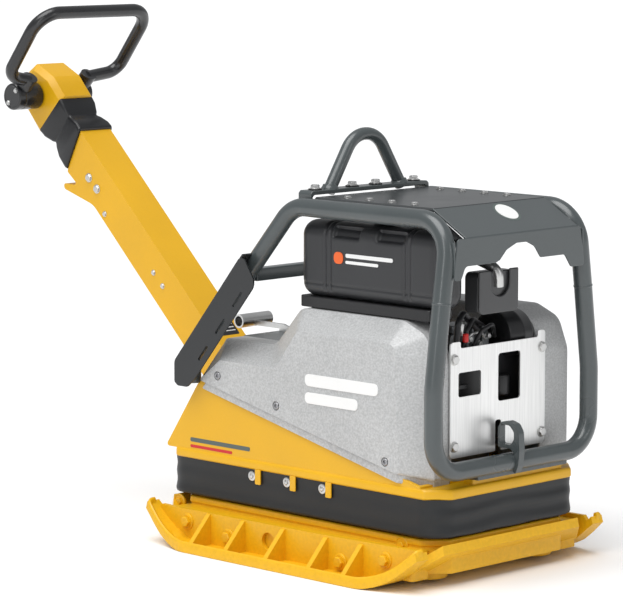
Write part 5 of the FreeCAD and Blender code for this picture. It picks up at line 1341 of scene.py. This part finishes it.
@dataclass
class Tank:
    """Blow-moulded tank: a rounded box with grooves, two recesses, a neck column and a low crease."""

    x: tuple[float, float] = (-47, 400)
    y: tuple[float, float] = (-200, -112)
    z: tuple[float, float] = (613, 790)
    round: float = 36
    grooves: tuple[float, ...] = (40, 56, 288, 304)

    def build(self) -> None:
        """Make the tank and the dark tray under it."""
        Piece("moulded_tank", "chassis", TANK, ("fuel_tank",), smooth=70).make(self.skin())
        tray = plate([block_loop((-44, 366), (-198, -118), 12)], 589, 615, "xy")
        Piece("tank_tray", "chassis", HOSE, bevel=2.4).make(tray)

    def skin(self) -> Surface:
        """Grid of stations along the tank and points round it, moved in by the relief.

        Inward shift = relief(x, y, z); the end stations shrink by radius * (1 - cos) for rounded ends.
        """
        half_y, half_z = (self.y[1] - self.y[0]) / 2, (self.z[1] - self.z[0]) / 2
        centre = np.array([(self.y[0] + self.y[1]) / 2, (self.z[0] + self.z[1]) / 2])
        section = Chassis.evenly(block_loop((-half_y, half_y), (-half_z, half_z), self.round, 12), 220)
        outward = Chassis.outward(section)
        end = 34
        bend = np.linspace(0, np.pi / 2, 9)
        head = self.x[0] + end * (1 - np.cos(bend))
        body = np.linspace(self.x[0] + end, self.x[1] - end, 210)[1:-1]
        tail = self.x[1] - end * (1 - np.cos(bend[::-1]))
        x = np.concatenate([head, body, tail])
        shrink = np.zeros(len(x))
        shrink[:9] = end * (1 - np.sin(bend))
        shrink[-9:] = end * (1 - np.sin(bend[::-1]))
        flat = centre + section[None] - outward[None] * shrink[:, None, None]
        relief = self.relief(x[:, None], flat[..., 0], flat[..., 1])
        flat = flat - outward[None] * relief[..., None]
        rings = np.concatenate([np.broadcast_to(x[:, None, None], (*flat.shape[:2], 1)), flat], -1)
        neck = turned(
            np.array([(0, 780), (27, 780), (26.5, 789), (25, 791), (25, 802), (0, 802)]), "z", (172, -140), 40
        )
        return lofted(rings).plus(neck)

    def relief(self, x: Array, y: Array, z: Array) -> Array:
        """Depth of the relief: grooves round the body, recesses and a crease on the faces."""
        depth = sum(3.6 * np.exp(-((x - place) / 4.2) ** 2) for place in self.grooves)
        depth = depth * np.clip((z - 628) / 12, 0, 1) * np.ones_like(z)
        sides = (np.abs(y - (self.y[0] + self.y[1]) / 2) > 30).astype(float)
        for low, high in ((66, 147), (203, 284)):
            inside = self.step(x - low) * self.step(high - x) * self.step(z - 757)
            depth = depth + 9 * inside * sides
        column = np.exp(-((x - 172) / 26) ** 2) * self.step(z - 700, 14) * sides
        crease = 2.6 * np.exp(-((z - 646) / 3.0) ** 2) * sides
        return depth + crease - 1.2 * column

    @staticmethod
    def step(distance: Array, soft: float = 3.5) -> Array:
        """Smooth step from 0 to 1 about zero distance."""
        return 1 / (1 + np.exp(-np.clip(distance / soft * 2.2, -40, 40)))


@dataclass
class Exhaust:
    """Silencer box, its outlet and the air filter drum."""

    def build(self) -> None:
        """Make the silencer and the drum."""
        Piece("silencer_box", "chassis", SATIN_GREY, ("silencer",), bevel=3.0).make(self.box())
        Piece("outlet_pipe", "chassis", ZINC, smooth=50).make(self.outlet())
        Piece("filter_drum", "chassis", BLACK_GLOSS, ("air_filter",), smooth=40).make(self.drum())

    def box(self) -> Surface:
        """Box with rounded corners and a round-bottomed notch in its front sheet."""
        case = plate([block_loop((-70, 58), (597, 690), 14)], 352, 392, "yz")
        angle = np.linspace(np.pi, 2 * np.pi, 20)
        notch = np.stack([-2 + 32 * np.cos(angle), 666 + 32 * np.sin(angle)], -1)
        corner = arc_path(np.array([(-72, 694), (-72, 596), (60, 596), (60, 694)]), [0, 14, 14, 0], 6)
        outline = np.concatenate([corner, [(30, 694)], notch[::-1], [(-34, 694)]])
        return case.plus(plate([outline], 394, 400, "yz"))

    def outlet(self) -> Surface:
        """Bent pipe that shows in the notch."""
        path = arc_path([(340, -22, 716), (396, -6, 694), (394, -2, 655)], [0, 26, 0], 10)
        return carried(path, ring_of(12, 28), (0, 1, 0))

    def drum(self) -> Surface:
        """Canister with a stepped lid and a clamp band."""
        profile = [
            (0, 62), (50, 62), (55, 64), (57, 70), (57, 104), (58, 106), (58, 112), (57, 114), (57, 136),
            (54, 143), (46, 146), (0, 146),
        ]
        return turned(np.array(profile, float), "y", (318, 531), 56)


@dataclass
class EngineParts:
    """Rocker cover, injectors, hoses and brackets that show between the hoods, the tank and the panel."""

    hoses: tuple[tuple[tuple[float, float, float], ...], ...] = (
        ((372, -118, 520), (372, -112, 582), (352, -74, 598), (340, -30, 566), (336, 4, 540)),
        ((366, -92, 512), (368, -80, 560), (350, -40, 580), (330, 20, 556), (322, 40, 520)),
        ((360, -60, 505), (372, -34, 556), (366, 10, 566), (346, 40, 534)),
        ((350, -136, 560), (340, -118, 604), (322, -96, 616), (300, -60, 590)),
    )
    radii: tuple[float, ...] = (7.5, 6.0, 5.0, 6.5)

    def build(self) -> None:
        """Make the covers, the hoses and the small fittings."""
        Piece("rocker_cover", "chassis", ALLOY, bevel=3.0).make(self.cover())
        Piece("engine_fittings", "chassis", ZINC, bevel=0.6, bevel_steps=2).make(self.fittings())
        Piece("engine_hoses", "chassis", HOSE, smooth=50).make(self.pipes())
        Piece("red_nozzle", "chassis", RED, smooth=40).make(self.nozzle())
        Piece("window_parts", "chassis", HOSE, bevel=1.2).make(self.window_parts())

    def cover(self) -> Surface:
        """Ribbed cast cover with a raised lid."""
        base = plate([block_loop((-96, 34), (500, 548), 10)], 268, 334, "yz")
        lid = plate([block_loop((-84, 22), (546, 566), 7)], 274, 326, "yz")
        ribs = [plate([block_loop((y, y + 5), (512, 560), 2)], 330, 342, "yz") for y in range(-82, 20, 17)]
        return base.plus(lid, *ribs)

    def fittings(self) -> Surface:
        """Bolts, a union and short pipes on the cover."""
        heads = [
            hex_head("x", (y, z), 338, 347, 6)
            for y, z in ((-74, 520), (-40, 534), (-6, 520), (22, 536))
        ]
        tops = [hex_head("z", (x, y), 565, 574, 7) for x, y in ((290, -62), (310, -30), (290, 4))]
        line = np.array([(344, -60, 528), (356, -50, 548), (358, -20, 552), (348, 4, 532)], float)
        pipe = carried(arc_path(line, [0, 10, 10, 0], 8), ring_of(3.2, 16), (1, 0, 0))
        union = turned(softened(10, 548, 576, 2), "z", (356, -88), 28)
        return heads[0].plus(*heads[1:], *tops, pipe, union)

    def pipes(self) -> Surface:
        """Bent hoses."""
        tubes = []
        for line, radius in zip(self.hoses, self.radii):
            bends = [0, *[18] * (len(line) - 2), 0]
            tubes.append(
                carried(arc_path(np.array(line, float), bends, 8), ring_of(radius, 20), (0.1, 0.2, 0.97))
            )
        return tubes[0].plus(*tubes[1:])

    def nozzle(self) -> Surface:
        """Small red cap among the hoses."""
        return turned(softened(7, 536, 556, 2.5), "z", (380, -96), 28)

    def window_parts(self) -> Surface:
        """Filter bowl and brackets behind the panel's windows."""
        bowl = turned(softened(22, 398, 446, 5), "z", (352, 52), 40)
        lever = plate([block_loop((-126, -70), (428, 438), 3)], 362, 368, "yz")
        post = plate([block_loop((-104, -96), (410, 470), 2)], 356, 364, "yz")
        screen = plate([block_loop((-150, 150), (300, 500), 6)], 346, 350, "yz")
        return bowl.plus(lever, post, screen)


@dataclass
class RearDeck:
    """Rear deck with two knurled caps, and the drawbar's stop tube."""

    def build(self) -> None:
        """Make the deck, the caps and the stop."""
        deck = plate([block_loop((-282, -40), (-150, 150), 8)], 487, 492, "xy")
        Piece("deck_sheet", "chassis", FRAME_GREY, ("rear_deck",), bevel=1.2).make(deck)
        caps = self.cap(-150, 20, 21, 34).plus(self.cap(-195, -12, 17, 24))
        Piece("knurled_caps", "chassis", BLACK_GLOSS, ("deck_caps",), smooth=30).make(caps)
        Piece("stop_tube", "chassis", ZINC, ("drawbar_stop",), smooth=30).make(self.stop())

    @staticmethod
    def cap(x: float, y: float, radius: float, rise: float) -> Surface:
        """Screw cap with flutes: radius * (1 - flute depth * wave) round its side."""
        turn = np.linspace(0, 2 * np.pi, 144, endpoint=False)
        flute = 1 - 0.045 * (np.cos(turn * 18) > 0.2)
        share = np.array([0.80, 1.0, 1.0, 0.93, 0.70, 0.66])
        height = np.array([0.0, 0.04, 0.86, 0.98, 1.0, 0.93])
        wavy = np.array([0, 1, 1, 0.5, 0, 0])
        reach = radius * share[:, None] * (1 + (flute - 1)[None] * wavy[:, None])
        rings = np.zeros((len(share), len(turn), 3))
        rings[..., 0] = x + reach * np.cos(turn)
        rings[..., 1] = y + reach * np.sin(turn)
        rings[..., 2] = 492 + rise * height[:, None]
        return lofted(rings)

    @staticmethod
    def stop() -> Surface:
        """Tube that the upright drawbar rests on, with its arm and leg."""
        ring = [ring_of(16.5, 40, (-372, 510)), ring_of(12.5, 40, (-372, 510))]
        arm = plate(
            [
                np.array(
                    [
                        (-358, 498), (-358, 510), (-262, 510), (-242, 504), (-242, 492), (-274, 492),
                        (-274, 498),
                    ]
                )
            ],
            -36,
            -28,
            "xz",
        )
        return plate(ring, -76, 24, "xz").plus(arm)


# ---------------------------------------------------------------- drawbar and handle

@dataclass
class DrawbarFrame:
    """The drawbar's own frame at rest: x along the beam, z across it, y crosswise and turned about."""

    pivot: tuple[float, float] = (-440, 347.5)
    slope: float = 44.13

    def place(self, shape: Surface) -> Surface:
        """Carry a surface to the machine's frame.

        x' = pivot - cos * x + sin * z, y' = -y, z' = pivot + sin * x + cos * z.
        """
        c, s = math.cos(math.radians(self.slope)), math.sin(math.radians(self.slope))
        x, y, z = shape.points.T
        points = np.stack([self.pivot[0] - c * x + s * z, -y, self.pivot[1] + s * x + c * z], -1)
        return Surface(points, shape.faces)


def moved_in(corners: Array, distance: float) -> Array:
    """Convex corners moved in so that every side shifts by a distance.

    Each corner moves by distance * (a + b) / |a x b|, with a and b the unit directions of its two sides.
    """
    corners = np.asarray(corners, float)
    a = unit(np.roll(corners, 1, axis=0) - corners)
    b = unit(np.roll(corners, -1, axis=0) - corners)
    cross = np.abs(a[:, 0] * b[:, 1] - a[:, 1] * b[:, 0])
    return corners + distance * (a + b) / cross[:, None]


@dataclass
class Drawbar:
    """Box beam with its hook, rubber boot and cast head."""

    local: DrawbarFrame = field(default_factory=DrawbarFrame)
    half: float = 50

    def build(self) -> None:
        """Make the beam, bolts, boot and head."""
        Piece(
            "beam_box", "drawbar", YELLOW, ("drawbar_beam",), bevel=4.0, bevel_steps=4, smooth=24
        ).make(self.local.place(self.beam()))
        Piece(
            "beam_hex_bolts", "drawbar", ZINC, ("beam_bolts",), bevel=0.6, bevel_steps=2
        ).make(self.local.place(self.bolts()))
        Piece(
            "boot_cover", "drawbar", BOOT_RUBBER, ("boot",), bevel=3.2, smooth=26
        ).make(self.local.place(self.boot()))
        Piece(
            "head_cast", "drawbar", YELLOW, ("head_casting",), bevel=3.4, bevel_steps=4, smooth=24
        ).make(self.local.place(self.head()))

    def beam(self) -> Surface:
        """Beam outline with the hook, carried across, with the pivot's bore."""
        corners = np.array(
            [
                (-24, -50), (630, -50), (732, -102), (745, -94), (702, -57), (754, -62), (762, -50),
                (800, 50), (-24, 50), (-50, 24), (-50, -24),
            ]
        )
        outline = arc_path(corners, [30, 60, 8, 6, 5, 4, 4, 4, 30, 30, 30], 6, closed=True)
        return plate([outline, ring_of(15.06, 64)], -self.half, self.half, "xz")

    def bolts(self) -> Surface:
        """Bolt heads along both sides."""
        places = [
            ((688, -12), 1.0), ((648, -10), 1.0), ((585, -34), 0.62), ((363, -4), 0.62), ((318, -3), 0.62)
        ]
        near = [hex_head("y", place, self.half, self.half + 6 * size, 8.5 * size) for place, size in places]
        first, *rest = near
        shape = first.plus(*rest)
        return shape.plus(shape.mirrored())

    def boot(self) -> Surface:
        """Loft of rounded sections: flared skirt, waist and collar.

        A section's point at share s of its height is lerp(bottom, top, s) along and across the beam.
        """
        stations = [
            ((758, -56), (792, 55), 56), ((764, -58.5), (797, 57.5), 58), ((800, -58), (812, 57), 56),
            ((826, -52), (834, 50), 51.5),
            ((836, -48.5), (844, 45), 48.5), ((842, -48), (850, 44), 48), ((848, -52), (856, 48), 51),
            ((872, -60), (880, 54), 57), ((898, -64), (898, 57), 56.5),
        ]
        rings = []
        for low, high, wide in stations:
            loop = block_loop((-wide, wide), (0, high[1] - low[1]), 9, 5)
            share = loop[:, 1] / (high[1] - low[1])
            x = low[0] + (high[0] - low[0]) * share
            z = low[1] + (high[1] - low[1]) * share
            rings.append(np.stack([x, loop[:, 0], z], -1))
        return lofted(np.stack(rings))

    def head(self) -> Surface:
        """Faceted head with bevelled long edges and the shaft's bore."""
        corners = np.array([(896, -72), (972, -66), (1020, -36), (1037, 8), (1029, 46), (962, 68), (896, 64)])
        inner = moved_in(corners, 14)
        inner[[0, -1], 0] = 896
        rings = np.stack(
            [
                in_plane(arc_path(shape, 5, 3, closed=True), "xz", y)
                for shape, y in ((inner, -57), (corners, -43), (corners, 43), (inner, 57))
            ]
        )
        return lofted(rings)


@dataclass
class Handle:
    """Tilting handle: two hubs with sockets and the bent loop."""

    local: DrawbarFrame = field(default_factory=DrawbarFrame)
    pivot: tuple[float, float] = (965, -3)

    def build(self) -> None:
        """Make the hubs, their screws and the loop."""
        Piece(
            "hub_castings", "handle", BLACK_PAINT, ("handle_hubs",), bevel=1.6, smooth=30
        ).make(self.local.place(self.hubs()))
        Piece("hub_screws", "handle", ZINC, bevel=0.4, bevel_steps=2).make(self.local.place(self.screws()))
        Piece("loop_tube", "handle", BLACK_PAINT, ("handle_loop",)).make(self.local.place(self.loop()))

    def hubs(self) -> Surface:
        """Drum with a groove and a dished end, and its socket, on both sides."""
        parts = []
        for near, far, socket_y in ((60, 139, 112), (60, 106, 84)):
            profile = np.array([
                (0, near), (31, near), (34, near + 2.5), (34, far - 26), (33, far - 24.5), (33, far - 22),
                (34, far - 20.5),
                (34, far - 4), (32, far - 1), (28, far), (27, far - 1.5), (0, far - 1.5),
            ])
            drum = turned(profile, "y", self.pivot, 56)
            socket = carried(
                np.array([(970, socket_y, 20), (970, socket_y, 58), (970.5, socket_y, 62)], float),
                ring_of(20.5, 32),
                (1, 0, 0),
            )
            parts.append(drum.plus(socket))
        return parts[0].plus(parts[1].mirrored())

    def screws(self) -> Surface:
        """Two screws on each hub's end face."""
        parts = []
        for far in (139, 106):
            heads = [
                hex_head("y", (self.pivot[0] + a, self.pivot[1] + b), far - 1.6, far + 2.4, 4.8)
                for a, b in ((0.7, 21.7), (-0.7, -21.7))
            ]
            parts.append(heads[0].plus(heads[1]))
        return parts[0].plus(parts[1].mirrored())

    def loop(self) -> Surface:
        """Tube from one socket round to the other."""
        corners = np.array(
            [
                (970, 112, 51), (981, 176, 57), (1000, 176, 264), (1000, -190, 264), (981, -190, 57),
                (970, -84, 51),
            ],
            float,
        )
        path = arc_path(corners, [0, 38, 62, 62, 38, 0], 16)
        return carried(path, ring_of(16, 32), (1, 0, -0.09))


# ---------------------------------------------------------------- marks

@dataclass
class Marks:
    """Plain bars, stripes and badges that carry no wording."""

    def build(self) -> None:
        """Make the marks of the hoods, the wedge, the tank, the visor and the drawbar."""
        bars = self.bar((33, 263), (418, 446), -255.2, 1.6).plus(self.bar((33, 200), (378, 404), -255.2, 1.6))
        Piece("hood_bars", "chassis", WHITE_MARK, bevel=0.6, bevel_steps=2).make(bars.plus(bars.mirrored()))
        dark = self.bar((-363, -160), (240, 250), -244.1, 0.5)
        Piece("wedge_stripe", "chassis", DARK_MARK).make(dark.plus(dark.mirrored()))
        red = self.bar((-363, -220), (226, 233), -244.1, 0.5)
        Piece("wedge_fine_stripe", "chassis", RED).make(red.plus(red.mirrored()))
        Piece("tank_square", "chassis", ORANGE_MARK).make(self.bar((71, 100), (697, 724), -200.6, 0.9))
        grey = self.bar((108, 255), (713, 722), -200.6, 0.9).plus(
            self.bar((108, 210), (699, 706), -200.6, 0.9)
        )
        Piece("tank_bars", "chassis", WHITE_MARK).make(grey)
        label, lines = self.beam_label()
        Piece("beam_label", "drawbar", BLACK_GLOSS).make(label)
        Piece("beam_label_lines", "drawbar", WHITE_MARK).make(lines)
        Piece("visor_badge", "chassis", WHITE_MARK).make(self.badge(0.90, 1.3))
        Piece("visor_badge_ring", "chassis", DARK_MARK).make(self.badge(1.08, 0.5))

    @staticmethod
    def bar(x: tuple[float, float], z: tuple[float, float], y: float, thick: float) -> Surface:
        """Flat bar with round ends on a side face."""
        radius = (z[1] - z[0]) * 0.42
        return plate([block_loop(x, z, radius, 7)], y - thick, y + 0.4, "xz")

    @staticmethod
    def beam_label() -> tuple[Surface, Surface]:
        """Dark label on the beam's upper face, with plain fine lines."""
        local = DrawbarFrame()
        label = plate([block_loop((108, 178), (-34, 34), 4)], 49.7, 50.4, "xy")
        rows = [
            plate([block_loop((x, x + 2.2), (-28, reach), 0.8)], 50.3, 50.8, "xy")
            for x, reach in ((120, 24), (130, 10), (140, 26), (150, 4), (160, 22))
        ]
        return local.place(label), local.place(rows[0].plus(*rows[1:]))

    @staticmethod
    def badge(size: float, thick: float) -> Surface:
        """Round disc on the visor's slope, laid into the slope's plane."""
        start, end = np.array([361.0, 842.0]), np.array([457.5, 787.0])
        along = unit(end - start)
        out = np.array([-along[1], along[0]])
        out = out * np.sign(out[1])
        middle = start + (end - start) * 0.37
        loop = ring_of(31.5 * size, 64)
        disc = plate([loop], 0, thick, "xy")
        x, y, z = disc.points.T
        points = np.stack(
            [middle[0] + along[0] * x + out[0] * z, y + 20, middle[1] + along[1] * x + out[1] * z], -1
        )
        return Surface(points, disc.faces)

# ---------------------------------------------------------------- room and camera

@dataclass
class Studio:
    """Floor, soft lights and the camera."""

    place: tuple[float, float, float] = (5.1492, -5.3707, 1.5439)
    azimuth: float = 44.89
    elevation: float = 7.32
    lens: float = 185.7
    sky: float = 2.75
    surroundings: float = 0.44

    def build(self) -> None:
        """Put the floor, the lights and the camera into the scene."""
        self.floor()
        self.lights()
        self.camera()
        self.world()

    def floor(self) -> None:
        """Plain pale floor that runs on past the picture's upper edge."""
        mesh = bpy.data.meshes.new("floor")
        reach = 80.0
        corners = np.array([(-reach, -reach, 0), (reach, -reach, 0), (reach, reach, 0), (-reach, reach, 0)])
        mesh.from_pydata(corners.tolist(), [], [[0, 1, 2, 3]])
        material = bpy.data.materials.new("floor")
        material.use_nodes = True
        shader = material.node_tree.nodes["Principled BSDF"]
        shader.inputs["Base Color"].default_value = (0.94, 0.94, 0.94, 1)
        shader.inputs["Roughness"].default_value = 0.7
        mesh.materials.append(material)
        sheet = bpy.data.objects.new("floor", mesh)
        bpy.context.scene.collection.objects.link(sheet)

    def lights(self) -> None:
        """A wide soft sky light from above and slim strips that draw highlights along the tubes."""
        sun = bpy.data.lights.new("sky", "SUN")
        sun.energy = self.sky
        sun.angle = math.radians(55)
        lamp = bpy.data.objects.new("sky", sun)
        lamp.rotation_euler = Vector((0.06, -0.36, 0.93)).to_track_quat("Z", "Y").to_euler()
        bpy.context.scene.collection.objects.link(lamp)
        strips = [
            ("near_strip", (1.4, -3.2, 1.9), (0.0, 0.0, 0.5), (0.5, 2.4), 16),
            ("front_strip", (4.2, 0.6, 2.0), (0.1, 0.0, 0.5), (0.4, 2.0), 10),
        ]
        for name, place, aim, size, power in strips:
            data = bpy.data.lights.new(name, "AREA")
            data.shape = "RECTANGLE"
            data.size, data.size_y = size
            data.energy = power
            lamp = bpy.data.objects.new(name, data)
            lamp.location = place
            lamp.rotation_euler = (Vector(aim) - Vector(place)).to_track_quat("-Z", "Y").to_euler()
            bpy.context.scene.collection.objects.link(lamp)

    def camera(self) -> None:
        """Camera at its place, turned by its azimuth and elevation."""
        data = bpy.data.cameras.new("camera")
        data.lens = self.lens
        data.sensor_width = 36
        data.clip_end = 500
        item = bpy.data.objects.new("camera", data)
        turn, tilt = math.radians(self.azimuth), math.radians(self.elevation)
        back = Vector((math.sin(turn) * math.cos(tilt), -math.cos(turn) * math.cos(tilt), math.sin(tilt)))
        item.location = self.place
        item.rotation_euler = (-back).to_track_quat("-Z", "Y").to_euler()
        bpy.context.scene.collection.objects.link(item)
        bpy.context.scene.camera = item

    def world(self) -> None:
        """Even pale surroundings."""
        world = bpy.data.worlds.new("surroundings")
        world.use_nodes = True
        background = world.node_tree.nodes["Background"]
        background.inputs["Color"].default_value = (0.97, 0.98, 1.0, 1)
        background.inputs["Strength"].default_value = self.surroundings
        bpy.context.scene.world = world
        bpy.context.scene.view_settings.view_transform = "Standard"


CAD_FINISHES: dict[Finish, list[str]] = {
    IRON: [
        "exciter_housing",
        "exciter_covers",
        "front_weights",
        "rear_weights",
        "clutch_pulley",
        "exciter_pulley",
        "flywheel",
    ],
    STEEL: [
        "exciter_bearings",
        "front_exciter_shaft",
        "rear_exciter_shaft",
        "front_gear",
        "rear_gear",
        "crankshaft",
        "pivot_pin",
        "handle_shaft",
    ],
    ALLOY: ["engine_block", "fan_cowl"],
    RUBBER: ["buffers", "v_belt"],
    BLACK_GLOSS: ["fuel_cap"],
    RED: ["stop_lever"],
    YELLOW: ["drawbar_bracket"],
}


def main() -> None:
    """Build every sub-assembly, dress the CAD nodes that stay, and set the studio."""
    lower = (Base(), Chassis(), Hood(), Front(), TubeFrame(), TopSheets())
    upper = (Tank(), Exhaust(), EngineParts(), RearDeck(), Drawbar(), Handle(), Marks())
    for part in lower + upper:
        part.build()
    for finish, names in CAD_FINISHES.items():
        dress_cad(names, finish)
    Studio().build()


if __name__ == "__main__":
    logging.basicConfig(level=logging.INFO, format="%(name)s %(message)s")
    main()
